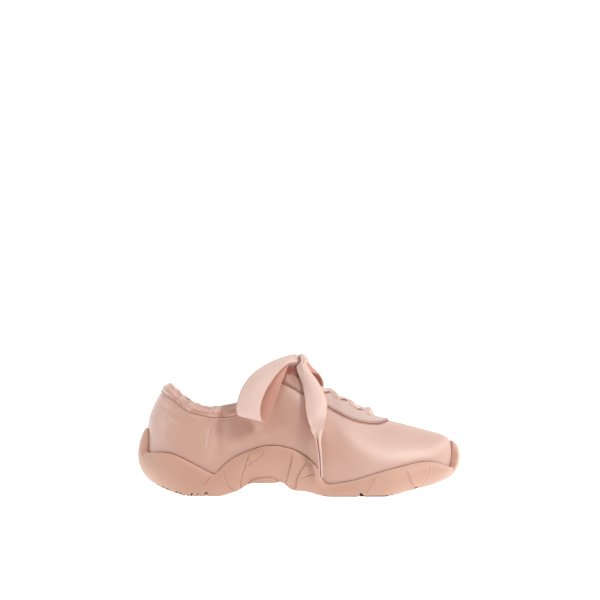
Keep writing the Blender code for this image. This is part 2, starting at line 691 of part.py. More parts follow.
def strip(name, t, material, steps=3):
    """A flat ribbon through the rows of a table."""
    s = np.arange(len(t["x"]), dtype=float)
    q = np.linspace(0, s[-1], (len(s) - 1) * steps + 1) if steps > 1 else s
    v = {n: spline(s, t[n])(q) for n in t}
    mid = real(np.stack([v["x"], v["y"], v["z"]], -1))
    turn, tip = np.radians(v["turn"]), np.radians(v["tip"])
    wide = np.stack(
        [np.cos(turn) * np.cos(tip), np.sin(turn) * np.cos(tip), np.sin(tip)], -1
    )
    along = np.gradient(mid, axis=0)
    along /= np.linalg.norm(along, axis=1, keepdims=True)
    wide -= (wide * along).sum(1, keepdims=True) * along
    wide /= np.linalg.norm(wide, axis=1, keepdims=True)
    face = np.cross(along, wide)
    half = (v["width"] / 2000.0)[:, None] * wide
    thick = RIBBON / 2 * face
    rings = [mid - half - thick, mid + half - thick, mid + half + thick]
    rings = np.stack(rings + [mid - half + thick], 1)
    return tube(name, rings, material)


def tube(name, rings, material):
    """A solid from small rings along a path, capped at both ends."""
    r, k = rings.shape[:2]
    faces = []
    for s in range(r - 1):
        for i in range(k):
            a, b = s * k + i, s * k + (i + 1) % k
            c, d = b + k, a + k
            # the same diagonal on both faces, so that a twist keeps its thickness
            if 2 * i < k:
                faces += [(a, b, c), (a, c, d)]
            else:
                faces += [(a, b, d), (b, c, d)]
    faces += [tuple(range(k)), tuple((r - 1) * k + i for i in reversed(range(k)))]
    return make(name, rings.reshape(-1, 3), faces, material)


# ---------------------------------------------------------------- the pieces
def rows_of(a):
    """Height shares of the rows that every piece near the upper shares."""
    return edge_t(a)[:, None] * ROWS[None, :]


def build_upper():
    a = RING
    t = rows_of(a)
    outer = form(a[:, None], t)
    inner = form(a[:, None], t, np.full(t.shape, -WALL))
    # the lining wall stops level with the outer one on the floor of the sole
    inner[:, 0, 2] = outer[:, 0, 2]
    rim = np.abs(a) <= angle_of_top(THROAT_END) + 1e-9
    return shell("upper", outer, inner, "satin", ring=True, rim=rim)


def overlay(name, sides, line, rows, thick):
    """A proud piece GAP over the upper, from a line seen from the side up to
    the edge of the throat or collar; sides is one run of ring angles, or two
    that meet on the ridge in front of the throat."""
    verts, faces, end = [], [], angle_of_top(THROAT_END) + 1e-9
    for a in sides:
        low, high = t_where(a, lambda x, y, a: line(x)), edge_t(a)
        low = np.minimum(low, high)
        t = low[:, None] + (high - low)[:, None] * np.linspace(0, 1, rows)[None, :]
        aa, k, n = np.broadcast_to(a[:, None], t.shape), len(a), sum(map(len, verts))
        for off in (GAP + thick, GAP):
            verts.append(form(aa, t, np.full(t.shape, off)).reshape(-1, 3))
        for i in range(k - 1):
            j = i + 1
            for s in range(rows - 1):
                quad = (i * rows + s, j * rows + s, j * rows + s + 1, i * rows + s + 1)
                faces.append(tuple(n + q for q in quad))
                faces.append(tuple(n + k * rows + q for q in quad[::-1]))
            edge = (i * rows, k * rows + i * rows, k * rows + j * rows, j * rows)
            faces.append(tuple(n + q for q in edge))
            if abs(a[i]) <= end and abs(a[j]) <= end:
                e, f = i * rows + rows - 1, j * rows + rows - 1
                faces.append((n + e, n + f, n + k * rows + f, n + k * rows + e))
        for i in (0, k - 1):
            if high[i] - low[i] > 1e-6:
                for s in range(rows - 1):
                    b, c = n + i * rows + s, n + i * rows + s + 1
                    faces.append((b, c, k * rows + c, k * rows + b))
    return make(name, np.concatenate(verts), faces, "satin")


def build_casing():
    end = angle_of_top(STAY_BACK - 0.6) + 1e-9
    overlay("collar_casing", [RING[np.abs(RING) <= end]], CASING_LINE, 4, CASING)


def build_stay():
    start, tip = angle_of_top(STAY_BACK) - 1e-9, angle_of_top(204.2) + 1e-9
    side = np.sort(RING[(RING >= start) & (RING <= tip)])
    overlay("lace_stay", [-side, side], STAY_LINE, 5, STAY)


def tongue_face(a, depth):
    """One face of the tongue: under the throat's edges and straight across."""
    high = edge_t(a)
    t = high[:, None] * ROWS[None, -2:]
    one = form(-a[:, None], t, np.full(t.shape, -depth))
    two = form(a[:, None], t, np.full(t.shape, -depth))[:, ::-1]
    d1, d2 = one[:, -1] - one[:, -2], two[:, 0] - two[:, 1]
    d1, d2 = d1 + (0, 0, -0.0012), d2 + (0, 0, -0.0012)
    d1 /= np.linalg.norm(d1, axis=1, keepdims=True)
    d2 /= np.linalg.norm(d2, axis=1, keepdims=True)
    reach = np.linalg.norm(one[:, -1] - two[:, 0], axis=1, keepdims=True) * 0.22
    c = [one[:, -1], one[:, -1] + reach * d1, two[:, 0] + reach * d2, two[:, 0]]
    bridge = bezier([q[:, None, :] for q in c], np.linspace(0, 1, 6)[None, 1:-1])
    return np.concatenate([one, bridge, two], axis=1)


def narrowed(row, share):
    """The middle share of a cross line of the tongue."""
    mid = (row[0, 1] + row[-1, 1]) / 2
    y = mid + (row[:, 1] - mid) * share
    return np.stack([np.interp(y, row[:, 1], row[:, n]) for n in range(3)], 1)


def build_tongue():
    start, end = angle_of_top(125.0), angle_of_top(198.0)
    a = np.sort(RING[(RING >= start) & (RING <= end)])
    a = np.concatenate([[angle_of_top(TONGUE_OUT)], a])
    faces = []
    for depth in (WALL + GAP, WALL + GAP + TONGUE):
        grid = tongue_face(a, depth)
        # it comes out between the top corners of the throat and stands proud
        grid[0] = narrowed(grid[0], 0.66)
        ahead = grid[0].mean(0) - grid[1].mean(0)
        ahead /= np.linalg.norm(ahead)
        proud = [
            narrowed(grid[0], share) + ahead * run * TONGUE_PROUD
            for run, share in ((1.30, 0.55), (1.10, 0.80), (0.60, 0.95))
        ]
        faces.append(np.concatenate([np.array(proud), grid]))
    return shell("tongue", faces[0], faces[1], "lining")


def build_insole():
    a = RING
    low = form(a, 0 * a, np.full(len(a), -(WALL + 1.5 * GAP)))
    low[:, 2] = form(a, 0 * a)[:, 2] + GAP / 3
    high = low + np.array([0, 0, INSOLE])
    return stack("insole", np.stack([low, high]), "lining")


def build_sole():
    a = RING
    outside = sole_wall(a, np.array([0, 0.16, 0.36, 0.56, 0.74, 0.87, 0.95, 1.0]))
    top, rows = t_where(a, sole_line), rows_of(a)
    inside = [form(a, top, np.full(len(a), GAP))]
    for n in range(5, -1, -1):
        t = np.minimum(rows[:, n], top * (0.4 + 0.6 * n / 6))
        inside.append(form(a, t, np.full(len(a), GAP)))
    inside = np.array(inside)
    inside[-1, :, 2] = form(a, 0 * a)[:, 2] - GAP
    rings = np.concatenate([outside.transpose(1, 0, 2), inside])
    sole = stack("sole", rings, "rubber")
    cutter = lug_cutter()
    cut = sole.modifiers.new("lugs", "BOOLEAN")
    cut.operation, cut.object, cut.solver = "DIFFERENCE", cutter, "EXACT"
    return sole


def lug_cutter():
    verts, faces = [], []
    for x, width, depth, top in zip(*LUGS.values()):
        b = angle_at(x, *TREAD_ENDS)
        z, n = float(tread_z(b)), len(verts)
        low, high = 0.5 + 3.0 * (1 - top) / depth, top / 2
        for y in (-70.0, 70.0):
            for dx, dz in ((-low, -6.0), (low, -6.0), (high, depth), (-high, depth)):
                verts.append((x + dx * width, y, z + dz))
        faces += [(n, n + 1, n + 2, n + 3), (n + 7, n + 6, n + 5, n + 4)]
        faces += [
            (n + i, n + (i + 1) % 4, n + 4 + (i + 1) % 4, n + 4 + i) for i in range(4)
        ]
    mesh = bpy.data.meshes.new("lug_cutter")
    mesh.from_pydata([tuple(map(float, v)) for v in real(verts)], [], faces)
    work = bmesh.new()
    work.from_mesh(mesh)
    bmesh.ops.recalc_face_normals(work, faces=work.faces)
    work.to_mesh(mesh)
    work.free()
    item = bpy.data.objects.new("lug_cutter", mesh)
    CUTTERS.objects.link(item)
    item.hide_render, item.display_type = True, "WIRE"
    return item


def crossing_section(r):
    """The line across the throat that the ribbon lies on at row r, as points
    from the lateral end to the medial one and their distances from the middle.
    Between eyelet rows r is a fraction."""
    x = np.interp(r, np.arange(len(EYELET_ROWS)), EYELET_ROWS)
    x += (r - np.clip(r, 0, len(EYELET_ROWS) - 1)) * (EYELET_ROWS[1] - EYELET_ROWS[0])
    over, sides = GAP + STAY + GAP + RIBBON / 2 + 0.0005, []
    for side in (-1, 1):
        a = np.array([side * angle_of_top(x)])
        high = float(edge_t(a)[0])
        share = np.linspace(0.5 * high, high, 120)
        rib = form(a, share)
        run = np.cumsum(np.r_[0, np.linalg.norm(np.diff(rib, axis=0), axis=1)])
        back = np.array([EYELET_INSET + EYELET_PAD, EYELET_INSET, EYELET_INSET / 2, 0])
        t = np.interp(run[-1] - back * 0.001, run, share)
        sides.append(form(np.full(4, a[0]), t, np.full(4, over)))
    # the last row rises to the knot
    lift = np.interp(r, (len(EYELET_ROWS) - 1.4, len(EYELET_ROWS) - 1), (0.0003, RISE))
    middle = (sides[0][-1] + sides[1][-1]) / 2 + (0, 0, lift)
    line = np.concatenate([sides[0], [middle], sides[1][::-1]])
    run = np.r_[0, np.cumsum(np.linalg.norm(np.diff(line, axis=0), axis=1))]
    return line, run - run[4]


def build_crossings():
    """Crosses of ribbon from each eyelet row to the next, and a bar across at
    both ends of the throat, as one net with a thickness."""
    spots, index, polygons = [], {}, []

    def spot(r, place, side):
        """place 0 is the middle, 1 the throat's edge, 2 the eyelet, 3 the end."""
        key = (round(r, 3), round(place, 3), side if place else 0)
        if key not in index:
            line, run = crossing_section(r)
            ends = run[[4, 3, 1, 0]] if side < 0 else run[[4, 5, 7, 8]]
            s = np.interp(place, (0, 1, 2, 3), np.abs(ends)) * side
            index[key] = len(spots)
            spots.append([np.interp(s, run, line[:, n]) for n in range(3)])
        return index[key]

    last = len(EYELET_ROWS) - 1
    for side in (-1, 1):
        for cell in range(last):
            for row, to in ((cell, 1), (cell + 1, -1)):
                m, n = cell + 0.5, row + 0.2 * to
                middle = [(n, 0.0), (m, 0.0), (m, 0.8), (row, 0.55)]
                inner = [(row, 0.55), (m, 0.8), (m - 0.07 * to, 1.0), (row, 1.0)]
                m = m - 0.18 * to
                outer = [(row, 1.0), (m + 0.11 * to, 1.0), (m, 2.0), (row, 2.0)]
                end = [(row, 2.0), (m, 2.0), (m - 0.06 * to, 3.0), (row, 3.0)]
                polygons += [[spot(*p, side) for p in q] for q in (middle, inner, outer, end)]
        for row, to in ((0, 1), (last, -1)):
            polygons.append(
                [spot(row, 0.0, side), spot(row + 0.2 * to, 0.0, side), spot(row, 0.55, side)]
            )
            places = (0.0, 0.55, 1.0, 2.0, 3.0)
            for p, q in zip(places, places[1:]):
                far = row - 0.27 * to
                four = ((row, p), (far, p), (far, q), (row, q))
                polygons.append([spot(*c, side) for c in four])
    spots = np.array(spots)
    flat = bpy.data.meshes.new("lace_crossings")
    flat.from_pydata([tuple(map(float, p)) for p in spots], [], polygons)
    work = bmesh.new()
    work.from_mesh(flat)
    bmesh.ops.recalc_face_normals(work, faces=work.faces)
    if sum(f.normal.z for f in work.faces) < 0:
        bmesh.ops.reverse_faces(work, faces=work.faces)
    work.to_mesh(flat)
    work.free()
    item = bpy.data.objects.new("lace_crossings", flat)
    PIECES.objects.link(item)
    flat.materials.append(MATERIALS["ribbon"])
    thick = item.modifiers.new("thickness", "SOLIDIFY")
    thick.thickness, thick.offset, thick.use_even_offset = RIBBON, 0.0, False
    return item


def build_knot():
    rings, k = [], 10
    for u in np.linspace(0, math.pi, 8)[1:-1]:
        r, x = math.sin(u) ** 0.7, -math.cos(u)
        c = 2 * math.pi * np.arange(k) / k
        y = np.sign(np.cos(c)) * np.abs(np.cos(c)) ** 0.8 * r
        z = np.sign(np.sin(c)) * np.abs(np.sin(c)) ** 0.8 * r
        p = np.stack([KNOT["x"] + x * KNOT["long"] / 2 + 0 * y] * 1, -1)
        p = np.concatenate([p, (KNOT["y"] + y * KNOT["wide"] / 2)[:, None]], 1)
        p = np.concatenate([p, (KNOT["z"] + z * KNOT["high"] / 2)[:, None]], 1)
        rings.append(real(p))
    return tube("bow_knot", np.array(rings), "ribbon")


def collection(name):
    group = bpy.data.collections.new(name)
    bpy.context.scene.collection.children.link(group)
    return group


for item in list(bpy.data.objects):
    bpy.data.objects.remove(item, do_unlink=True)
PIECES, CUTTERS = collection("ballet_sneaker"), collection("cutters")
MATERIALS = {}
for key, colour in COLOURS.items():
    MATERIALS[key] = bpy.data.materials.new(key)
    MATERIALS[key].use_nodes = True
    MATERIALS[key].node_tree.nodes["Principled BSDF"].inputs[0].default_value = colour
    MATERIALS[key].diffuse_color = colour

RING = ring_angles()
build_sole()
build_upper()
build_insole()
build_tongue()
build_casing()
build_stay()
build_crossings()
build_knot()
strip("bow_loop_near", LOOP_NEAR, "ribbon", 2)
strip("bow_loop_far", LOOP_FAR, "ribbon", 2)
strip("bow_end_near", TAIL_NEAR, "ribbon", 2)
strip("bow_end_far", TAIL_FAR, "ribbon", 2)
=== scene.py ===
"""Looks of the ballet sneaker: satin, padding, seams, gathers, ribbon and rubber
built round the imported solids, with the camera, floor and lights.

The form of the foot is the one that the solids have: a ring of ribs from the
feather edge up to the top line.  Tables hold millimetres.
"""

import math

import bmesh
import bpy
import numpy as np
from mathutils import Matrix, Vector


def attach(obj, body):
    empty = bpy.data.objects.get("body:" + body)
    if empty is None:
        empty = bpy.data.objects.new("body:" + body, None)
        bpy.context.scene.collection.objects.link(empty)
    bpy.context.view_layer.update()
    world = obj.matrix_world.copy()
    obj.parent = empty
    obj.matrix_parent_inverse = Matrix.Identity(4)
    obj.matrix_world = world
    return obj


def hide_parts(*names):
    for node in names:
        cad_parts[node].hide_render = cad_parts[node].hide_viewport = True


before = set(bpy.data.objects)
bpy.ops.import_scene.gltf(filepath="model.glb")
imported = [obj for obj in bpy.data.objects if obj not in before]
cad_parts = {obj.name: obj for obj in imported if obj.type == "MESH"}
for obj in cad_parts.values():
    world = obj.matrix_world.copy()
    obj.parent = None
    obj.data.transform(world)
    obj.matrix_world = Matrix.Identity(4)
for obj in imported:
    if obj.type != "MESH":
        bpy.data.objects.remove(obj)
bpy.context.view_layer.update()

# ------------------------------------------------------------------ sizes, m
LENGTH = 0.264  # back of the heel to the tip of the toe
BALL_WIDTH = 0.092  # sole, across the ball of the foot
INSTEP_HEIGHT = 0.100  # ground to the top of the lace stay
HEEL_HEIGHT = 0.0925  # ground to the tip of the heel collar
WALL = 0.0018  # satin, padding and lining of the upper
GAP = 0.0003  # between neighbouring pieces
STAY = 0.0013  # thickness of the lace stay
CASING = 0.0015  # thickness of the elastic collar casing
TONGUE = 0.0024  # thickness of the tongue
TONGUE_PROUD = 0.010  # how far it stands past the top of the throat
INSOLE = 0.0030
SOLE_EDGE = 0.0012  # thickness of the sole's wall at its top edge
SOLE_LIP = 0.0046  # height over which that wall rounds out to its full thickness
EDGE_SEEN = 0.0005  # what the moulded edge stands proud of the satin
RIBBON = 0.0010  # thickness of the ribbon lace

# The tables hold millimetres on a form 263.3 long, 95.1 wide, 100 high at the
# instep and 92.5 at the heel, and stretch with the four sizes above.
X_SCALE = LENGTH / 263.3
Y_SCALE = BALL_WIDTH / 95.1
Z_INSTEP = INSTEP_HEIGHT / 100.0
Z_HEEL = HEEL_HEIGHT / 92.5
MIDDLE = (131.40, 2.30)  # x and y in the tables that stand over the origin


def table(columns, *rows):
    names = columns.split()
    return {n: np.array([row[i] for row in rows], float) for i, n in enumerate(names)}


# Feather edge: where the upper meets the floor of the sole.
#                 x      half  centre  z
FEATHER = table(
    "x half centre z",
    (9.0, 0.0, 0.0, 16.8),
    (11.0, 9.7, 0.0, 16.8),
    (18.0, 19.8, 0.0, 16.6),
    (30.0, 26.0, 0.0, 16.1),
    (45.0, 28.3, -0.1, 15.5),
    (65.0, 28.2, -0.6, 15.2),
    (85.0, 26.8, -1.8, 15.2),
    (105.0, 26.8, -3.0, 15.2),
    (125.0, 29.2, -3.4, 13.8),
    (145.0, 33.8, -2.6, 9.8),
    (165.0, 38.2, -1.0, 7.6),
    (180.0, 40.6, 0.8, 7.3),
    (192.0, 41.0, 2.2, 7.3),
    (205.0, 39.4, 3.8, 7.6),
    (220.0, 35.2, 5.8, 9.2),
    (235.0, 29.8, 8.0, 12.8),
    (247.0, 22.4, 9.6, 17.4),
    (253.0, 14.2, 10.3, 20.3),
    (256.0, 0.0, 10.6, 21.5),
)

# Ribs: where each one ends (top) and how it leaves the feather edge and
# arrives.  flare and lean are degrees from upright, out and in; reach and
# draw are the pulls of the curve's ends, in shares of its chord.  half is how
# far the end stands from the ridge (0 where the form closes over the foot),
# crest the offset of the ridge to the medial side, slope the ridge's fall.
#               foot    top    half  crest   z     flare reach lean  draw slope
RIBS = table(
    "foot top half crest z flare reach lean draw slope",
    (9.0, 26.0, 0.0, 0.0, 92.5, 10.0, 0.35, 49.0, 0.35, 0.0),
    (11.0, 27.6, 7.4, 0.0, 91.0, 10.0, 0.35, 44.0, 0.34, 0.0),
    (18.0, 33.0, 15.6, 0.0, 85.6, 10.0, 0.35, 34.0, 0.33, 0.0),
    (30.0, 42.0, 21.4, 0.0, 78.6, 9.0, 0.36, 26.0, 0.33, 0.0),
    (45.0, 53.5, 24.6, 0.0, 73.5, 8.0, 0.37, 20.0, 0.33, 0.0),
    (65.0, 67.5, 25.9, 0.0, 73.7, 7.0, 0.38, 18.0, 0.34, 0.0),
    (85.0, 81.5, 25.0, 0.0, 76.8, 7.0, 0.38, 20.0, 0.35, 0.0),
    (105.0, 97.5, 22.6, 0.2, 84.4, 8.0, 0.38, 26.0, 0.36, -0.10),
    (125.0, 115.0, 18.7, 0.6, 95.6, 10.0, 0.39, 36.0, 0.36, -0.30),
    (132.5, 121.8, 17.0, 0.8, 98.7, 10.5, 0.39, 42.0, 0.36, -0.42),
    (145.0, 134.5, 12.0, 1.2, 95.4, 12.0, 0.40, 58.0, 0.36, -0.50),
    (160.0, 151.0, 5.0, 1.8, 87.8, 13.0, 0.42, 76.0, 0.36, -0.50),
    (172.0, 165.5, 1.0, 2.4, 80.4, 13.5, 0.43, 87.0, 0.37, -0.50),
    (182.0, 177.5, 0.0, 3.1, 73.0, 14.0, 0.43, 90.0, 0.37, -0.48),
    (192.0, 189.5, 0.0, 3.8, 65.6, 15.0, 0.43, 90.0, 0.38, -0.38),
    (205.0, 203.0, 0.0, 4.8, 61.5, 16.0, 0.44, 90.0, 0.38, -0.26),
    (220.0, 217.0, 0.0, 6.2, 58.2, 19.0, 0.46, 90.0, 0.38, -0.26),
    (235.0, 228.5, 0.0, 7.8, 55.2, 19.0, 0.52, 90.0, 0.37, -0.27),
    (247.0, 234.2, 0.0, 9.0, 53.6, 15.0, 0.64, 90.0, 0.37, -0.26),
    (253.0, 236.2, 0.0, 9.8, 53.1, 12.5, 0.72, 90.0, 0.38, -0.25),
    (256.0, 236.5, 0.0, 10.0, 53.0, 12.0, 0.75, 90.0, 0.38, -0.24),
)
# Throat: half width of the slot the tongue lies under, closed by a round end.
THROAT = table(
    "x half",
    (112.0, 19.6),
    (121.0, 17.2),
    (134.5, 14.8),
    (150.0, 13.0),
    (165.0, 12.0),
    (180.0, 11.4),
    (192.0, 11.0),
)
THROAT_END = 190.0  # front of the throat, where its round end closes
THROAT_ROUND = 15.0  # length of that round end

# Lower edge of the lace stay and of the collar casing, seen from the side.
STAY_EDGE = table(
    "x z",
    (114.0, 93.2),
    (117.3, 91.5),
    (124.8, 87.7),
    (134.5, 83.2),
    (145.0, 77.4),
    (154.2, 72.1),
    (161.0, 68.5),
    (167.3, 65.1),
    (173.5, 62.4),
    (179.8, 60.4),
    (186.0, 59.2),
    (192.4, 58.6),
    (198.6, 59.2),
    (204.2, 61.6),
)
CASING_EDGE = table(
    "x z",
    (14.0, 87.5),
    (20.5, 83.0),
    (26.7, 78.6),
    (33.5, 73.4),
    (39.5, 69.0),
    (48.4, 65.6),
    (60.6, 63.2),
    (74.2, 63.2),
    (86.0, 66.6),
    (98.0, 74.0),
    (109.0, 83.6),
    (117.3, 91.5),
)
STAY_BACK = 118.0  # where the casing stops and the lace stay starts
TONGUE_OUT = 121.8  # where the tongue comes out of the top of the throat

# Bottom edge of the sole, all the way round.
#               x      half  centre  z
TREAD = table(
    "x half centre z",
    (10.5, 0.0, 0.0, 11.3),
    (13.0, 10.5, 0.0, 10.2),
    (20.0, 19.5, 0.0, 6.6),
    (31.0, 25.8, 0.0, 2.4),
    (42.0, 28.6, -0.1, 0.0),
    (54.0, 29.6, -0.4, 0.0),
    (66.0, 29.4, -0.8, 0.0),
    (76.0, 28.4, -1.3, 2.6),
    (83.0, 27.4, -1.8, 5.2),
    (90.0, 26.6, -2.3, 9.6),
    (97.0, 26.2, -2.7, 10.6),
    (112.0, 27.4, -3.3, 10.9),
    (118.5, 28.6, -3.4, 10.6),
    (123.0, 29.8, -3.4, 6.8),
    (134.0, 33.4, -3.1, 4.4),
    (145.0, 37.0, -2.6, 2.0),
    (155.0, 39.8, -1.9, 0.0),
    (167.0, 42.4, -0.8, 0.0),
    (180.0, 43.8, 0.8, 0.0),
    (192.0, 43.6, 2.2, 0.0),
    (200.0, 42.6, 3.2, 0.0),
    (212.0, 39.4, 4.8, 2.4),
    (225.0, 33.4, 6.6, 5.5),
    (237.0, 26.4, 8.4, 8.4),
    (245.0, 18.4, 9.6, 10.9),
    (250.0, 0.0, 10.4, 12.7),
)
# Top line of the sole's wall, seen from the side: the heel wave falls into a
# sharp dip, and the arch wave rises out of it and runs on to the toe.
HEEL_WAVE = table(
    "x z",
    (6.0, 34.8),
    (13.1, 35.4),
    (26.7, 35.1),
    (33.5, 32.7),
    (40.2, 29.4),
    (47.0, 25.9),
    (53.8, 22.2),
    (63.1, 17.5),
)
ARCH_WAVE = table(
    "x z",
    (63.1, 17.5),
    (67.4, 22.2),
    (74.2, 28.6),
    (81.0, 33.0),
    (89.9, 36.9),
    (100.0, 40.3),
    (110.1, 41.4),
    (120.0, 40.2),
    (129.9, 36.8),
    (136.9, 32.6),
    (143.1, 27.0),
    (147.0, 20.8),
    (150.4, 13.8),
    (154.2, 10.6),
    (161.0, 10.7),
    (173.5, 12.9),
    (190.2, 17.9),
    (207.0, 22.7),
    (226.7, 27.4),
    (234.6, 28.3),
    (242.4, 27.2),
    (251.8, 23.9),
    (262.0, 22.6),
)
# Raised bumpers at the two ends of the sole.
HEEL_BUMPER = {"half": 9.2, "top": 55.0, "foot": 35.2, "power": 2.8}
TOE_BUMPER = {"half": 12.5, "top": 44.5, "foot": 23.2, "power": 2.8}
# Wall of the sole: flare at the bottom, lean at the top, pulls of the ends.
WALLS = table(
    "x flare reach lean draw",
    (9.0, 50.0, 0.46, 27.0, 0.34),
    (18.0, 40.0, 0.42, 26.0, 0.34),
    (45.0, 30.0, 0.38, 24.0, 0.36),
    (105.0, 26.0, 0.36, 22.0, 0.36),
    (150.0, 30.0, 0.36, 24.0, 0.36),
    (192.0, 34.0, 0.38, 28.0, 0.36),
    (235.0, 52.0, 0.42, 40.0, 0.38),
    (256.0, 74.0, 0.47, 62.0, 0.40),
)
# Ribbon: eyelet rows along the throat, and the bow above them.
EYELET_ROWS = (186.5, 174.5, 162.0, 149.0, 136.0)
EYELET_INSET = 4.2  # from the throat's edge
EYELET_PAD = 2.2  # ribbon beyond the eyelet's middle
RISE = 0.0062  # of the last crossing, to the knot
KNOT = {"x": 133.6, "y": -1.0, "z": 110.4, "long": 9.4, "wide": 9.0, "high": 10.4}
# Loops and ends, a row for each place they bend.  turn and tip are the
# degrees that the ribbon's width points to the side (from +X towards +Y) and
# up; width is in millimetres.
# Nets of the bow's ribbon: rows from the knot on, each with points across the
# ribbon (x z y), seen from the side; strands turn and fold as the rows go.
LOOP_NEAR = (
    ((130.0, 115.4, -2.0), (130.0, 111.6, -8.0), (130.0, 107.4, -7.0)),
    ((125.6, 115.2, -2.0), (126.3, 112.2, -8.6), (126.8, 108.3, -11.0)),
    ((119.8, 113.7, -3.0), (122.2, 111.6, -10.4), (124.0, 108.1, -15.0)),
    ((112.3, 111.0, -7.0), (116.8, 109.2, -14.8), (120.6, 106.2, -20.0)),
    ((106.4, 108.2, -12.0), (111.8, 106.0, -19.6), (116.4, 102.4, -25.0)),
    ((98.1, 103.2, -20.5), (105.6, 101.2, -27.6), (112.3, 97.8, -32.0)),
    ((91.3, 97.4, -29.5), (100.0, 95.4, -35.2), (108.1, 91.9, -38.0)),
    ((86.3, 90.7, -36.0), (95.6, 89.2, -40.4), (104.7, 86.5, -42.0)),
    ((83.0, 84.1, -41.0), (92.8, 83.0, -44.2), (102.3, 81.1, -45.0)),
    ((80.9, 77.3, -44.2), (90.8, 76.8, -46.8), (100.5, 75.6, -47.0)),
    ((79.7, 70.8, -46.2), (89.7, 70.6, -48.2), (99.6, 69.2, -48.2)),
    ((80.5, 66.9, -47.4), (90.4, 65.4, -48.8), (100.2, 63.4, -48.0)),
    ((81.7, 64.9, -45.2), (91.6, 62.4, -46.0), (101.4, 60.2, -45.6)),
    ((83.4, 66.0, -42.6), (93.4, 63.2, -42.8), (103.2, 60.6, -43.0)),
    ((86.2, 68.6, -40.6), (96.0, 65.6, -41.2), (105.6, 62.8, -42.0)),
    ((88.8, 73.0, -37.8), (98.6, 70.0, -40.0), (108.1, 66.8, -41.6)),
    ((91.8, 79.6, -35.2), (101.6, 76.6, -38.0), (111.0, 73.6, -40.2)),
    ((94.0, 86.4, -32.4), (103.8, 83.6, -35.4), (113.1, 80.7, -38.2)),
    ((96.2, 92.0, -29.6), (105.8, 89.2, -32.8), (114.8, 86.1, -35.8)),
    ((99.6, 97.6, -26.0), (108.6, 95.0, -29.4), (116.9, 91.9, -32.4)),
    ((103.8, 102.2, -21.0), (111.8, 100.0, -25.0), (119.0, 97.0, -28.0)),
    ((109.6, 106.2, -15.5), (115.8, 104.6, -19.4), (121.0, 102.0, -22.0)),
    ((116.2, 109.4, -10.0), (120.2, 108.4, -13.0), (123.2, 106.6, -15.5)),
    ((127.0, 111.4, -5.0), (127.8, 110.2, -6.4), (128.6, 108.8, -7.4)),
)
LOOP_FAR = (
    ((134.4, 107.4, -1.0), (136.0, 109.6, 0.6), (137.0, 110.8, 4.0)),
    ((137.8, 103.9, 0.0), (139.2, 106.4, 6.6), (139.8, 107.6, 13.0)),
    ((141.4, 100.8, 2.0), (142.2, 103.2, 11.0), (142.6, 104.3, 20.0)),
    ((145.8, 99.3, 6.0), (146.3, 100.4, 15.6), (146.6, 100.5, 25.0)),
    ((148.6, 96.5, 10.0), (149.1, 97.3, 19.6), (149.2, 96.9, 29.0)),
    ((150.4, 92.7, 14.0), (151.0, 93.0, 23.6), (151.0, 92.2, 33.0)),
    ((151.6, 88.4, 19.0), (151.6, 87.8, 28.8), (151.4, 86.0, 38.0)),
    ((152.4, 80.8, 28.4), (150.4, 79.8, 37.6), (147.2, 77.8, 45.6)),
    ((152.4, 72.8, 36.6), (147.4, 71.2, 44.2), (141.2, 70.0, 49.6)),
    ((151.4, 65.6, 42.4), (144.4, 64.6, 48.6), (136.2, 64.8, 52.2)),
    ((150.4, 62.6, 46.0), (142.6, 62.0, 51.4), (133.8, 63.0, 53.8)),
    ((150.0, 65.8, 48.8), (141.4, 66.2, 53.2), (132.4, 67.6, 54.6)),
    ((150.2, 76.0, 47.4), (140.8, 76.8, 51.0), (131.2, 78.0, 51.6)),
    ((151.0, 86.0, 41.6), (141.2, 87.0, 44.6), (131.4, 88.0, 44.0)),
    ((150.2, 92.6, 35.6), (140.6, 93.4, 38.4), (131.2, 93.6, 37.4)),
    ((147.6, 98.6, 28.6), (139.2, 99.2, 31.0), (131.2, 99.4, 29.6)),
    ((143.6, 102.8, 20.8), (137.4, 104.0, 22.4), (131.6, 104.2, 20.4)),
    ((139.4, 106.4, 12.0), (135.8, 107.6, 13.0), (132.2, 107.8, 11.4)),
    ((136.6, 109.0, 3.6), (135.2, 110.0, 4.4), (133.8, 110.2, 4.0)),
)
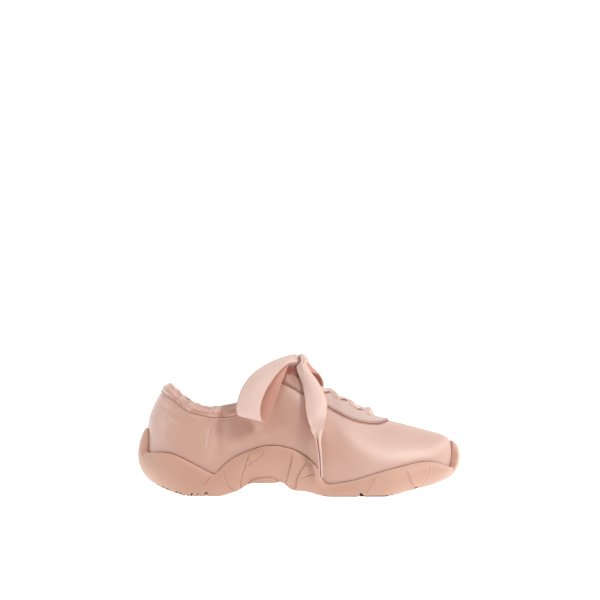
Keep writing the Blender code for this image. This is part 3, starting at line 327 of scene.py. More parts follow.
TAIL_NEAR = (
    ((130.6, 114.2, -2.4), (132.0, 115.3, -3.6), (133.6, 115.7, -4.2), (135.2, 115.3, -3.6), (136.8, 114.2, -2.4)),
    ((132.7, 110.8, -7.6), (133.6, 111.0, -9.4), (134.7, 111.2, -8.6), (136.0, 111.2, -9.2), (137.2, 111.2, -6.6)),
    ((131.9, 108.0, -10.2), (133.0, 108.4, -12.2), (134.3, 108.8, -10.8), (135.8, 109.0, -11.8), (137.5, 109.2, -9.0)),
    ((129.4, 104.9, -13.0), (131.7, 105.4, -13.6), (133.7, 105.9, -15.4), (135.8, 106.3, -13.6), (138.0, 106.8, -12.0)),
    ((130.6, 98.7, -18.0), (133.4, 99.2, -20.2), (136.0, 99.7, -22.0), (138.8, 100.2, -20.8), (141.1, 100.6, -16.5)),
    ((133.0, 93.0, -22.5), (136.2, 93.6, -26.0), (139.6, 94.2, -27.4), (142.8, 94.8, -26.0), (145.1, 95.4, -21.5)),
    ((134.8, 86.4, -28.5), (138.6, 87.1, -31.8), (142.2, 87.8, -33.0), (146.0, 88.5, -31.5), (148.8, 89.1, -27.0)),
    ((135.9, 79.0, -34.8), (140.2, 79.4, -37.4), (144.6, 79.8, -38.4), (149.2, 80.3, -37.0), (152.9, 80.7, -33.4)),
    ((136.5, 72.5, -38.8), (141.0, 72.7, -41.0), (145.4, 72.9, -41.8), (150.1, 73.1, -40.8), (154.2, 73.3, -38.0)),
    ((137.6, 64.7, -42.4), (141.6, 64.9, -44.6), (145.6, 65.1, -45.0), (150.0, 65.2, -43.8), (153.7, 65.4, -42.6)),
    ((139.9, 57.5, -46.6), (141.4, 57.4, -44.2), (145.2, 57.0, -43.8), (149.2, 56.7, -45.0), (152.3, 56.5, -47.4)),
    ((142.6, 52.6, -46.8), (141.4, 52.4, -48.2), (144.8, 52.0, -47.2), (148.0, 51.8, -48.8), (150.4, 51.6, -47.6)),
    ((144.4, 46.7, -47.4), (144.6, 46.7, -50.2), (146.0, 46.4, -47.8), (147.6, 46.3, -50.6), (149.4, 46.2, -48.0)),
    ((145.2, 41.9, -47.8), (145.8, 41.0, -51.0), (146.8, 40.8, -48.4), (147.8, 41.2, -51.4), (149.2, 41.6, -48.2)),
    ((145.9, 36.4, -48.2), (146.6, 36.2, -51.6), (147.5, 36.0, -48.8), (148.4, 36.2, -51.8), (149.6, 36.4, -48.4)),
    ((146.6, 30.0, -48.6), (147.4, 30.0, -52.0), (148.2, 30.0, -49.2), (149.0, 30.0, -52.2), (150.0, 30.0, -48.8)),
    ((147.2, 22.0, -48.9), (148.0, 22.0, -52.2), (148.7, 22.0, -49.5), (149.5, 22.0, -52.4), (150.4, 22.0, -49.0)),
    ((147.6, 14.6, -49.1), (148.3, 14.2, -52.3), (149.0, 14.0, -49.7), (149.8, 14.3, -52.5), (150.8, 14.8, -49.2)),
)
TAIL_FAR = table(
    "x y z turn tip width",
    (131.0, 3.0, 109.0, 0.0, 50.0, 7.0),
    (124.8, 9.0, 107.8, 4.0, 40.0, 12.0),
    (119.4, 17.0, 103.6, 6.0, 28.0, 15.5),
    (115.0, 27.0, 93.4, 3.0, 8.0, 18.0),
    (110.0, 33.6, 81.6, 0.0, -4.0, 20.0),
    (107.4, 37.4, 68.6, 0.0, -4.0, 20.0),
    (106.4, 39.4, 55.4, 0.0, -2.0, 20.0),
    (106.6, 41.0, 42.0, 0.0, 0.0, 20.0),
    (107.4, 42.6, 30.0, 0.0, 0.0, 20.0),
    (108.0, 43.6, 18.0, 0.0, 0.0, 20.0),
)
# ---------------------------------------------------------------- the curves
def spline(x, y, flat=False):
    """A cubic through the points.  flat: it arrives level at both ends."""
    n, h = len(x), np.diff(x)
    grid, right = np.eye(n), np.zeros(n)
    for i in range(1, n - 1):
        grid[i, i - 1 : i + 2] = h[i - 1], 2 * (h[i - 1] + h[i]), h[i]
        right[i] = 6 * ((y[i + 1] - y[i]) / h[i] - (y[i] - y[i - 1]) / h[i - 1])
    if flat:
        grid[0, :2], right[0] = (2 * h[0], h[0]), 6 * (y[1] - y[0]) / h[0]
        grid[-1, -2:], right[-1] = (h[-1], 2 * h[-1]), -6 * (y[-1] - y[-2]) / h[-1]
    bend = np.linalg.solve(grid, right)

    def value(q):
        q = np.clip(q, x[0], x[-1])
        i = np.clip(np.searchsorted(x, q) - 1, 0, n - 2)
        a, b, s = x[i + 1] - q, q - x[i], h[i]
        return (
            (bend[i] * a**3 + bend[i + 1] * b**3) / (6 * s)
            + (y[i] / s - bend[i] * s / 6) * a
            + (y[i + 1] / s - bend[i + 1] * s / 6) * b
        )

    return value


def angle_at(x, start, end):
    """The ring angle at which an outline from start to end reaches x."""
    return np.arccos(np.clip(1 - 2 * (x - start) / (end - start), -1, 1))


def ring_splines(t, key, odd=("half",)):
    """Each column of a table as a function of the ring angle."""
    a = angle_at(t[key], t[key][0], t[key][-1])
    return {
        n: spline(a, t[n], flat=n not in odd) for n in t if n != key
    }, (t[key][0], t[key][-1])


FEATHER_AT, FEATHER_ENDS = ring_splines(FEATHER, "x")
RIBS_AT, _ = ring_splines(RIBS, "foot")
THROAT_LINE = spline(THROAT["x"], THROAT["half"])
TREAD_AT, TREAD_ENDS = ring_splines(TREAD, "x")
WALLS_AT, _ = ring_splines(WALLS, "x")
STAY_LINE = spline(STAY_EDGE["x"], STAY_EDGE["z"])
CASING_LINE = spline(CASING_EDGE["x"], CASING_EDGE["z"])
HEEL_LINE = spline(HEEL_WAVE["x"], HEEL_WAVE["z"])
ARCH_LINE = spline(ARCH_WAVE["x"], ARCH_WAVE["z"])


def outline(a, columns, ends):
    """Points of a flat outline at ring angles a, and its outward direction."""

    def at(a):
        a = (a + math.pi) % (2 * math.pi) - math.pi
        b = np.abs(a)
        x = ends[0] + (ends[1] - ends[0]) * (1 - np.cos(b)) / 2
        y = columns["centre"](b) + np.sign(a) * columns["half"](b)
        return np.stack([x, y], -1)

    p, step = at(a), 1e-3
    t = at(a + step) - at(a - step)
    out = np.stack([-t[..., 1], t[..., 0]], -1)
    out /= np.linalg.norm(out, axis=-1, keepdims=True)
    return p, out


def height_scale(x):
    s = np.clip((x - 30) / 90, 0, 1)
    s = s * s * (3 - 2 * s)
    return Z_HEEL * (1 - s) + Z_INSTEP * s


def end_half(a):
    """How far the rib at ring angle a ends from the ridge, 0 on the ridge."""
    b = np.abs((a + math.pi) % (2 * math.pi) - math.pi)
    return np.clip(RIBS_AT["half"](b), 0, None) * (RIBS_AT["top"](b) < 177.4)


def ribs(a):
    """The four control points of the rib at each ring angle."""
    a = (a + math.pi) % (2 * math.pi) - math.pi
    b, side = np.abs(a), np.sign(a)
    foot, out = outline(a, FEATHER_AT, FEATHER_ENDS)
    v = {n: f(b) for n, f in RIBS_AT.items()}
    p0 = np.concatenate([foot, FEATHER_AT["z"](b)[..., None]], -1)
    p3 = np.stack([v["top"], v["crest"] + side * end_half(a), v["z"]], -1)
    chord = np.linalg.norm(p3 - p0, axis=-1)
    flare, lean = np.radians(v["flare"]), np.radians(v["lean"])
    zero, one = np.zeros_like(a), np.ones_like(a)
    d0 = np.sin(flare)[..., None] * np.stack([out[..., 0], out[..., 1], zero], -1)
    d0 = d0 + np.cos(flare)[..., None] * np.stack([zero, zero, one], -1)
    level = np.stack([-out[..., 0], -out[..., 1], -out[..., 0] * v["slope"]], -1)
    level /= np.linalg.norm(level, axis=-1, keepdims=True)
    d3 = np.sin(lean)[..., None] * level
    d3 = d3 + np.cos(lean)[..., None] * np.stack([zero, zero, one], -1)
    p1 = p0 + (v["reach"] * chord)[..., None] * d0
    p2 = p3 - (v["draw"] * chord)[..., None] * d3
    return p0, p1, p2, p3


def bezier(p, t):
    t = np.asarray(t)[..., None]
    s = 1 - t
    return s**3 * p[0] + 3 * s * s * t * p[1] + 3 * s * t * t * p[2] + t**3 * p[3]


def real(p):
    """Table millimetres to metres, stretched to the named sizes, with the
    origin on the ground under the middle of the shoe."""
    p = np.asarray(p, float)
    return np.stack(
        [
            (p[..., 0] - MIDDLE[0]) * X_SCALE,
            (p[..., 1] - MIDDLE[1]) * Y_SCALE,
            p[..., 2] * height_scale(p[..., 0]),
        ],
        -1,
    )


def form(a, t, off=0.0):
    """Point of the upper's outer surface at ring angle a and height share t,
    moved off metres along the outward normal."""
    a, t = np.broadcast_arrays(np.asarray(a, float), np.asarray(t, float))
    p = real(bezier(ribs(a), t))
    if np.ndim(off) == 0 and off == 0:
        return p
    return p + np.asarray(off)[..., None] * normal(a, t)


def normal(a, t):
    """Outward normal; on the ridge of the vamp, the mean of its two sides."""
    tc = np.clip(t, 0.0005, 0.9985)

    def one(a):
        da = real(bezier(ribs(a + 1e-3), tc)) - real(bezier(ribs(a - 1e-3), tc))
        dt = real(bezier(ribs(a), tc + 5e-4)) - real(bezier(ribs(a), tc - 5e-4))
        n = np.cross(dt, da)
        return n / np.linalg.norm(n, axis=-1, keepdims=True)

    n = one(a)
    ridge = (np.asarray(t) > 0.999) & (end_half(a) < 1e-6)
    n = np.where(ridge[..., None], n + one(-a), n)
    return n / np.linalg.norm(n, axis=-1, keepdims=True)


def t_where(a, line):
    """Height share at which each rib first rises above a line z = line(x, y)."""
    t = np.linspace(0, 1, 401)
    p = bezier([q[:, None, :] for q in ribs(a)], t[None, :])
    over = p[..., 2] - line(p[..., 0], p[..., 1], np.asarray(a)[:, None])
    hit = over >= 0
    i = np.where(hit.any(1), hit.argmax(1), len(t) - 1)
    j = np.clip(i, 1, None)
    row = np.arange(len(a))
    f0, f1 = over[row, j - 1], over[row, j]
    w = np.where(np.abs(f1 - f0) > 1e-12, -f0 / np.where(f1 == f0, 1, f1 - f0), 0)
    found = t[j - 1] + np.clip(w, 0, 1) * (t[j] - t[j - 1])
    return np.where(hit.any(1), np.where(i == 0, 0.0, found), 1.0)


def edge_t(a):
    """Height share at which each rib reaches the edge of the throat or collar."""
    t = np.linspace(0.6, 1, 401)
    p = bezier([q[:, None, :] for q in ribs(a)], t[None, :])
    b = np.abs((a + math.pi) % (2 * math.pi) - math.pi)
    from_ridge = np.abs(p[..., 1] - RIBS_AT["crest"](b)[:, None])
    u = np.clip((p[..., 0] - (THROAT_END - THROAT_ROUND)) / THROAT_ROUND, 0, 1)
    slot = THROAT_LINE(p[..., 0]) * (1 - u**2.3) ** (1 / 2.3)
    over = np.where(p[..., 0] > 108, slot - from_ridge, -1.0)
    hit = (over > 0) & (RIBS_AT["top"](b) < THROAT_END - 1e-6)[:, None]
    i = np.where(hit.any(1), hit.argmax(1), len(t) - 1)
    row, j = np.arange(len(a)), np.clip(i, 1, None)
    f0, f1 = over[row, j - 1], over[row, j]
    w = np.clip(-f0 / np.where(np.abs(f1 - f0) < 1e-12, 1, f1 - f0), 0, 1)
    return np.where(hit.any(1), t[j - 1] + w * (t[j] - t[j - 1]), 1.0)


def angle_of_top(x):
    """Ring angle of the rib that ends at top x."""
    a = np.linspace(0, math.pi, 2001)
    return float(np.interp(x, RIBS_AT["top"](a), a))


# ------------------------------------------------------------------ the sole
def bumper_angle(b, toe):
    """How far round from its end of the sole a bumper reaches, as a ring angle."""
    a = np.linspace(0, math.pi / 2, 1001)
    a = math.pi - a if toe else a
    half = FEATHER_AT["half"](a)
    return float(np.interp(b["half"], half, np.linspace(0, math.pi / 2, 1001)))


def bumper(a, b, toe):
    a = np.abs((a + math.pi) % (2 * math.pi) - math.pi)
    u = np.clip((math.pi - a if toe else a) / bumper_angle(b, toe), 0, 1)
    rise = (b["top"] - b["foot"]) * (1 - u ** b["power"]) ** (1 / b["power"])
    return np.where(u < 1, b["foot"] + rise, -1e3)


def sole_line(x, y, a):
    """Height of the top line of the sole's wall."""
    z = np.where(x < 63.1, HEEL_LINE(x), ARCH_LINE(x))
    heel, toe = bumper(a, HEEL_BUMPER, False), bumper(a, TOE_BUMPER, True)
    return np.maximum(z, np.maximum(heel, toe))


def sole_reach(x, y, a):
    """A smooth line above sole_line, where the wall would thin out to nothing."""
    z = np.where(x < 63.1, HEEL_LINE(x), ARCH_LINE(x))
    heel = np.exp(-((y / 20.0) ** 4)) * np.exp(-((np.clip(x - 8, 0, None) / 26) ** 2))
    toe = np.exp(-(((y - 10) / 23.0) ** 4))
    toe = toe * np.exp(-((np.clip(256 - x, 0, None) / 24) ** 2))
    return z + 1.5 + 20.5 * heel + 21.0 * toe


def tread_z(b):
    """Height of the bottom edge: heel and forefoot lie flat on the ground."""
    return np.clip(TREAD_AT["z"](b), 0, None)


def sole_wall(a, v):
    """Outside of the sole: v 0 at the tread, 1 at the top line.  a is (K,), v (R,)."""
    base, out = outline(a, TREAD_AT, TREAD_ENDS)
    b = np.abs((a + math.pi) % (2 * math.pi) - math.pi)
    p0 = np.concatenate([base, tread_z(b)[..., None]], -1)
    t_top, t_reach = t_where(a, sole_line), t_where(a, sole_reach)
    p0 = real(p0)
    p3 = form(a, t_reach, GAP + SOLE_EDGE)
    w = {n: f(b) for n, f in WALLS_AT.items()}
    chord = np.linalg.norm(p3 - p0, axis=-1)
    flare, lean = np.radians(w["flare"]), np.radians(w["lean"])
    flat = np.concatenate([out, np.zeros_like(out[:, :1])], -1)
    up = np.array([0.0, 0.0, 1.0])
    p1 = p0 + (w["reach"] * chord)[:, None] * (
        np.sin(flare)[:, None] * flat + np.cos(flare)[:, None] * up
    )
    p2 = p3 - (w["draw"] * chord)[:, None] * (
        -np.sin(lean)[:, None] * flat + np.cos(lean)[:, None] * up
    )
    top = form(a, t_top)
    # the share of each wall curve that stays below the top line
    u = np.linspace(0, 1, 201)
    curve = bezier([q[:, None, :] for q in (p0, p1, p2, p3)], u[None, :])
    over = curve[..., 2] >= top[:, 2][:, None]
    cut = u[np.where(over.any(1), over.argmax(1), 200)]
    q = cut[:, None] * v[None, :]
    wall = bezier([c[:, None, :] for c in (p0, p1, p2, p3)], q)
    # round the wall in to a thin edge at the top line
    rim = form(a, t_top, GAP + EDGE_SEEN)
    down = (rim[:, None, 2] - wall[..., 2]) / SOLE_LIP
    k = np.clip(1 - down, 0, 1)
    k = 1 - np.sqrt(np.clip(1 - k * k, 0, 1))
    edge = form(a[:, None], heights_to_t(a, wall[..., 2], t_top), GAP + EDGE_SEEN)
    return wall * (1 - k[..., None]) + edge * k[..., None]


def heights_to_t(a, z, t_top):
    """Height share on rib a at height z metres, no higher than t_top."""
    t = np.linspace(0, 1, 101)[None, :] * t_top[:, None]
    h = form(a[:, None], t)[..., 2]
    return np.stack([np.interp(z[i], h[i], t[i]) for i in range(len(a))])



# --------------------------------------------------------------- mesh helpers
def smooth(low, high, x):
    s = np.clip((np.asarray(x, float) - low) / (high - low), 0, 1)
    return s * s * (3 - 2 * s)


def in_tables(p):
    """World metres back to the millimetres of the tables."""
    x = p[..., 0] / X_SCALE + MIDDLE[0]
    return x, p[..., 1] / Y_SCALE + MIDDLE[1], p[..., 2] / height_scale(x)


def unit(v):
    return v / np.maximum(np.linalg.norm(v, axis=-1, keepdims=True), 1e-12)


def grid(k, r, start=0, ring=False, flip=False):
    """Quads of a grid of k columns and r rows."""
    i = np.arange(k if ring else k - 1)
    j, s = (i + 1) % k, np.arange(r - 1)
    a, b = i[:, None] * r + s, j[:, None] * r + s
    f = np.stack([a, b, b + 1, a + 1], -1).reshape(-1, 4) + start
    return f[:, ::-1] if flip else f


def wobble(s, seed, waves=7, low=1.0, high=3.0):
    """A smooth irregular curve along s, between about -1 and 1."""
    rng = np.random.default_rng(seed)
    out = np.zeros_like(np.asarray(s, float))
    for f, phase in zip(rng.uniform(low, high, waves), rng.uniform(0, 6.28, waves)):
        out += np.sin(f * s + phase)
    return out / waves**0.5 / 1.2


def to_line(x, z, points):
    """Signed distance to a line of points, and the share of its length."""
    points = np.asarray(points, float)
    best = np.full(np.shape(x), 1e9)
    sign, share = np.ones(np.shape(x)), np.zeros(np.shape(x))
    legs = np.linalg.norm(np.diff(points, axis=0), axis=1)
    run = np.concatenate([[0], np.cumsum(legs)]) / legs.sum()
    for n in range(len(points) - 1):
        a, d = points[n], points[n + 1] - points[n]
        u = ((x - a[0]) * d[0] + (z - a[1]) * d[1]) / (d @ d)
        c = np.clip(u, 0, 1)
        ex, ez = x - a[0] - c * d[0], z - a[1] - c * d[1]
        far = np.hypot(ex, ez)
        near = far < best
        best = np.where(near, far, best)
        sign = np.where(near, np.sign(d[0] * ez - d[1] * ex), sign)
        share = np.where(near, run[n] + u * (run[n + 1] - run[n]), share)
    return best * sign, share


def creases(x, z, rows, ends=0.28):
    """Sum of soft ridges (height above 0) and troughs, in millimetres.  A row is
    (height, width, lean, points): lean makes one flank steeper."""
    out = np.zeros(np.shape(x))
    for height, width, lean, points in rows:
        d, s = to_line(x, z, points)
        w = width * (1 + lean * np.tanh(d / width))
        fade = smooth(-0.12, ends, s) * smooth(-0.12, ends, 1 - s)
        out += height * np.exp(-((d / w) ** 2)) * fade
    return out


def add_mesh(name, verts, faces, material, uv=None, weld=3e-6, parts=None):
    """A piece that rides on the shoe.  parts is a second material's faces."""
    mesh = bpy.data.meshes.new(name)
    faces = [f for block in faces for f in np.asarray(block).tolist()]
    mesh.from_pydata(np.asarray(verts, float).tolist(), [], faces)
    if uv is not None:
        layer = mesh.uv_layers.new(name="ribbon")
        index = np.zeros(len(mesh.loops), np.int32)
        mesh.loops.foreach_get("vertex_index", index)
        layer.data.foreach_set("uv", np.asarray(uv, np.float32)[index].ravel())
    mesh.materials.append(material)
    if parts is not None:
        mesh.materials.append(parts[0])
        for more in parts[2:]:
            mesh.materials.append(more)
        mesh.polygons.foreach_set("material_index", parts[1].astype(np.int32))
    work = bmesh.new()
    work.from_mesh(mesh)
    if weld:
        bmesh.ops.remove_doubles(work, verts=work.verts, dist=weld)
    bmesh.ops.recalc_face_normals(work, faces=work.faces)
    if work.calc_volume(signed=True) < 0:
        bmesh.ops.reverse_faces(work, faces=work.faces)
    for face in work.faces:
        face.smooth = True
    work.to_mesh(mesh)
    work.free()
    item = bpy.data.objects.new(name, mesh)
    bpy.context.scene.collection.objects.link(item)
    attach(item, "root")
    return item


def joined(name, pieces, material):
    """Many small meshes as one piece: each is (verts, faces)."""
    verts, faces, n = [], [], 0
    for v, f in pieces:
        verts.append(v)
        faces.append(np.asarray(f) + n)
        n += len(v)
    return add_mesh(name, np.concatenate(verts), faces, material, weld=0)


def dense_ring(count, weight=None, marks=()):
    """Ring angles from the toe round the lateral side and back, the same on
    both sides; weight(x) asks for more columns where it is large."""
    a = np.linspace(0, math.pi, 8001)
    p, out = outline(a, FEATHER_AT, FEATHER_ENDS)
    step = np.linalg.norm(np.diff(p, axis=0), axis=1)
    turn = np.abs(np.diff(np.unwrap(np.arctan2(out[:, 1], out[:, 0]))))
    more = np.ones(len(step)) if weight is None else weight(p[1:, 0])
    run = np.concatenate([[0], np.cumsum((step + 14 * turn) * more)])
    side = np.interp(np.linspace(0, run[-1], count), run, a)
    for mark in marks:
        side[1 + np.abs(side[1:-1] - mark).argmin()] = mark
    side = np.sort(side)
    return np.concatenate([-side[::-1][:-1], side[:-1]])


def throat_t(a, grow=0.0):
    """edge_t for a throat whose slot is wider and longer by grow millimetres."""
    t = np.linspace(0.6, 1, 801)
    p = bezier([q[:, None, :] for q in ribs(a)], t[None, :])
    b = np.abs((a + math.pi) % (2 * math.pi) - math.pi)
    from_ridge = np.abs(p[..., 1] - RIBS_AT["crest"](b)[:, None])
    end = THROAT_END + grow
    u = np.clip((p[..., 0] - (end - THROAT_ROUND)) / THROAT_ROUND, 0, 1)
    slot = (THROAT_LINE(p[..., 0]) + grow) * (1 - u**2.3) ** (1 / 2.3)
    over = np.where(p[..., 0] > 108, slot - from_ridge, -1.0)
    hit = (over > 0) & (RIBS_AT["top"](b) < end - 1e-6)[:, None]
    i = np.where(hit.any(1), hit.argmax(1), len(t) - 1)
    row, j = np.arange(len(a)), np.clip(i, 1, None)
    f0, f1 = over[row, j - 1], over[row, j]
    w = np.clip(-f0 / np.where(np.abs(f1 - f0) < 1e-12, 1, f1 - f0), 0, 1)
    return np.where(hit.any(1), t[j - 1] + w * (t[j] - t[j - 1]), 1.0)


def back_from(a, t_end, distance):
    """Height share that lies distance metres below t_end along each rib."""
    t = np.linspace(0, 1, 161)[None, :] * t_end[:, None]
    p = form(a[:, None], t)
    run = np.zeros(t.shape)
    run[:, 1:] = np.cumsum(np.linalg.norm(np.diff(p, axis=1), axis=2), axis=1)
    return np.stack(
        [np.interp(run[i, -1] - distance, run[i], t[i]) for i in range(len(a))]
    )


# ------------------------------------------------------------------ materials
def rgb(r, g, b):
    """A colour given in display values, 0 to 255, as linear numbers."""
    c = np.array([r, g, b], float) / 255
    lin = np.where(c <= 0.04045, c / 12.92, ((c + 0.055) / 1.055) ** 2.4)
    return (*map(float, lin), 1.0)


class Nodes:
    def __init__(self, name):
        self.material = bpy.data.materials.new(name)
        self.material.use_nodes = True
        self.tree = self.material.node_tree
        self.shader = self.tree.nodes["Principled BSDF"]

    def add(self, kind, links=None, **values):
        node = self.tree.nodes.new(kind)
        for key, value in values.items():
            if key.startswith("in_"):
                name = key[3:]
                socket = node.inputs[int(name) if name.isdigit() else name]
                socket.default_value = value
            else:
                setattr(node, key, value)
        for key, source in (links or {}).items():
            self.tree.links.new(source, node.inputs[key])
        return node

    def set(self, **values):
        for key, value in values.items():
            self.shader.inputs[key.replace("_", " ")].default_value = value

    def link(self, source, name):
        self.tree.links.new(source, self.shader.inputs[name])

    def place(self, scale=(1, 1, 1), turn=(0, 0, 0)):
        where = self.add("ShaderNodeTexCoord").outputs["Object"]
        return self.add(
            "ShaderNodeMapping", {"Vector": where}, in_Scale=scale, in_Rotation=turn
        ).outputs[0]

    def noise(self, vector, scale, detail=2.0, rough=0.5, **more):
        return self.add(
            "ShaderNodeTexNoise",
            {"Vector": vector},
            in_Scale=scale,
            in_Detail=detail,
            in_Roughness=rough,
            **more,
        ).outputs["Fac"]

    def ramp(self, fac, *stops):
        node = self.add("ShaderNodeValToRGB", {"Fac": fac})
        ramp = node.color_ramp
        while len(ramp.elements) < len(stops):
            ramp.elements.new(0.5)
        for e, (at, colour) in zip(ramp.elements, stops):
            e.position, e.color = at, colour
        return node.outputs["Color"]

    def maths(self, what, *values):
        node = self.add("ShaderNodeMath", operation=what)
        for n, v in enumerate(values):
            if isinstance(v, (int, float)):
                node.inputs[n].default_value = v
            else:
                self.tree.links.new(v, node.inputs[n])
        return node.outputs[0]

    def mix(self, fac, one, two):
        node = self.add("ShaderNodeMix", data_type="RGBA")
        for socket, v in ((0, fac), (6, one), (7, two)):
            if isinstance(v, (int, float, tuple)):
                node.inputs[socket].default_value = v
            else:
                self.tree.links.new(v, node.inputs[socket])
        return node.outputs[2]

    def bump(self, *layers):
        """Layers of (height output, strength, distance), one over the other."""
        last = None
        for height, strength, distance in layers:
            node = self.add(
                "ShaderNodeBump",
                {"Height": height},
                in_Strength=strength,
                in_Distance=distance,
            )
            if last is not None:
                self.tree.links.new(last, node.inputs["Normal"])
            last = node.outputs[0]
        self.link(last, "Normal")


def satin(name, light, deep, rough=0.42, sheen=0.25, pale=None, painted_shading=None):
    """Satin; pale is a painted sheen mixed in where the surface turns away, and painted_shading is painted light or
    shade along x, given as (x full, x none, colour).
    """
    m = Nodes(name)
    at = m.place()
    broad = m.noise(at, 22.0, 3.0)
    slub = m.noise(m.place((420, 420, 5200), (0.0, 0.12, 0.0)), 1.0, 3.0, 0.6)
    threads = m.noise(m.place((5200, 5200, 640), (0.0, 0.12, 0.0)), 1.0, 2.0, 0.6)
    tone = m.maths("MULTIPLY_ADD", slub, 0.30, m.maths("MULTIPLY", broad, 0.70))
    colour = m.ramp(tone, (0.30, deep), (0.68, light))
    # painted sheen: the colour pales where the surface turns away from the viewer
    if pale:
        turned = m.add("ShaderNodeLayerWeight", in_Blend=0.5).outputs["Facing"]
        colour = m.mix(m.maths("MULTIPLY", turned, 0.95), colour, pale)
    # painted light and shade: along x the colour goes over to a lighter or darker one
    if painted_shading:
        x = m.add("ShaderNodeSeparateXYZ", {"Vector": at}).outputs[0]
        run = 1.0 / (painted_shading[1] - painted_shading[0])
        near = m.maths("MULTIPLY_ADD", x, run, -painted_shading[0] * run)
        near = m.maths("MAXIMUM", m.maths("MINIMUM", near, 1.0), 0.0)
        colour = m.mix(near, painted_shading[2], colour)
    m.link(colour, "Base Color")
    gloss = m.maths("MULTIPLY_ADD", slub, 0.16, rough - 0.08)
    m.link(gloss, "Roughness")
    m.bump((threads, 0.10, 0.00012), (slub, 0.12, 0.00010))
    m.set(Sheen_Weight=sheen, Sheen_Roughness=0.45, Specular_IOR_Level=0.9)
    m.set(Coat_Weight=0.35, Coat_Roughness=0.5)
    m.set(Sheen_Tint=(1.0, 0.93, 0.90, 1.0), Anisotropic=0.3)
    return m.material


def rubber(name, light, deep, rough=0.56):
    m = Nodes(name)
    at = m.place()
    broad = m.noise(at, 16.0, 4.0, 0.55)
    grain = m.noise(at, 2600.0, 2.0, 0.5)
    pores = m.noise(at, 700.0, 3.0, 0.6)
    turned = m.add("ShaderNodeLayerWeight", in_Blend=0.5).outputs["Facing"]
    colour = m.ramp(broad, (0.32, deep), (0.66, light))
    # painted sheen: the rubber pales where it turns away from the viewer
    pale = m.maths("MULTIPLY", turned, 0.5)
    m.link(m.mix(pale, colour, rgb(234, 204, 188)), "Base Color")
    m.link(m.maths("MULTIPLY_ADD", pores, 0.14, rough - 0.07), "Roughness")
    m.bump((pores, 0.10, 0.00022), (grain, 0.12, 0.00008))
    m.set(Specular_IOR_Level=0.55, Sheen_Weight=0.16, Sheen_Roughness=0.5)
    return m.material


def cloth(name, light, deep, scale=1500.0):
    m = Nodes(name)
    at = m.place()
    broad = m.noise(at, 30.0, 3.0)
    knit = m.noise(at, scale, 3.0, 0.7)
    tone = m.maths("MULTIPLY_ADD", knit, 0.4, m.maths("MULTIPLY", broad, 0.6))
    m.link(m.ramp(tone, (0.30, deep), (0.70, light)), "Base Color")
    m.bump((knit, 0.35, 0.00025))
    m.set(Roughness=0.86, Sheen_Weight=0.3, Sheen_Roughness=0.5)
    return m.material


def plain(name, colour, rough=0.7):
    m = Nodes(name)
    fleck = m.noise(m.place(), 2200.0, 2.0, 0.6)
    dark = tuple(c * 0.8 for c in colour[:3]) + (1.0,)
    m.link(m.ramp(fleck, (0.3, dark), (0.7, colour)), "Base Color")
    m.bump((fleck, 0.25, 0.0001))
    m.set(Roughness=rough, Specular_IOR_Level=0.3)
    return m.material


def ribbon_cloth(name, light, deep, edge):
    """Satin ribbon: fine cross ribs and a woven edge, laid out along the strip."""
    m = Nodes(name)
    where = m.add("ShaderNodeUVMap").outputs[0]
    split = m.add("ShaderNodeSeparateXYZ", {"Vector": where})
    u, v = split.outputs[0], split.outputs[1]
    aside = m.maths("ABSOLUTE", m.maths("SUBTRACT", u, 0.5))
    selvedge = m.maths("GREATER_THAN", aside, 0.462)
    picot = m.maths("GREATER_THAN", aside, 0.487)
    dash = m.maths("SINE", m.maths("MULTIPLY", v, 160.0))
    rib = m.maths("SINE", m.maths("MULTIPLY", v, 420.0))
    stretch = m.add(
        "ShaderNodeMapping", {"Vector": where}, in_Scale=(3.0, 60.0, 1.0)
    ).outputs[0]
    streak = m.noise(stretch, 1.0, 3.0, 0.6)
    body = m.ramp(streak, (0.28, deep), (0.72, light))
    border = m.mix(m.maths("MULTIPLY_ADD", dash, 0.25, 0.4), edge, light)
    m.link(m.mix(selvedge, body, border), "Base Color")
    height = m.maths("MULTIPLY_ADD", selvedge, 1.4, m.maths("MULTIPLY", rib, 0.12))
    height = m.maths("MULTIPLY_ADD", m.maths("MULTIPLY", picot, dash), 0.7, height)
    m.bump((height, 0.35, 0.00018), (streak, 0.12, 0.0001))
    m.link(m.maths("MULTIPLY_ADD", streak, 0.12, 0.36), "Roughness")
    m.set(Sheen_Weight=0.25, Sheen_Roughness=0.4, Sheen_Tint=light)
    m.set(Specular_IOR_Level=0.4)
    through = m.add("ShaderNodeBsdfTranslucent", in_Color=deep)
    both = m.add("ShaderNodeMixShader", in_0=0.16)
    out = m.tree.nodes["Material Output"]
    m.tree.links.new(m.shader.outputs[0], both.inputs[1])
    m.tree.links.new(through.outputs[0], both.inputs[2])
    m.tree.links.new(both.outputs[0], out.inputs["Surface"])
    return m.material


# colour of the painted sheen on the satin
PAINTED_SHEEN_COLOUR = rgb(240, 216, 207)
# painted light: the upper's satin is paler towards the toe
SATIN = satin(
    "pink_satin", rgb(201, 157, 139), rgb(191, 145, 127), 0.47, pale=PAINTED_SHEEN_COLOUR,
    painted_shading=(0.075, 0.018, rgb(208, 170, 156)),
)
CASING_SATIN = satin(
    "casing_satin", rgb(193, 143, 124), rgb(182, 131, 112), 0.42, pale=PAINTED_SHEEN_COLOUR
)
# painted shade: the lace stay is darker at its back end, under the bow
STAY_SATIN = satin(
    "stay_satin", rgb(205, 177, 166), rgb(198, 168, 156), 0.42,
    painted_shading=(-0.008, 0.016, rgb(166, 114, 94)),
)
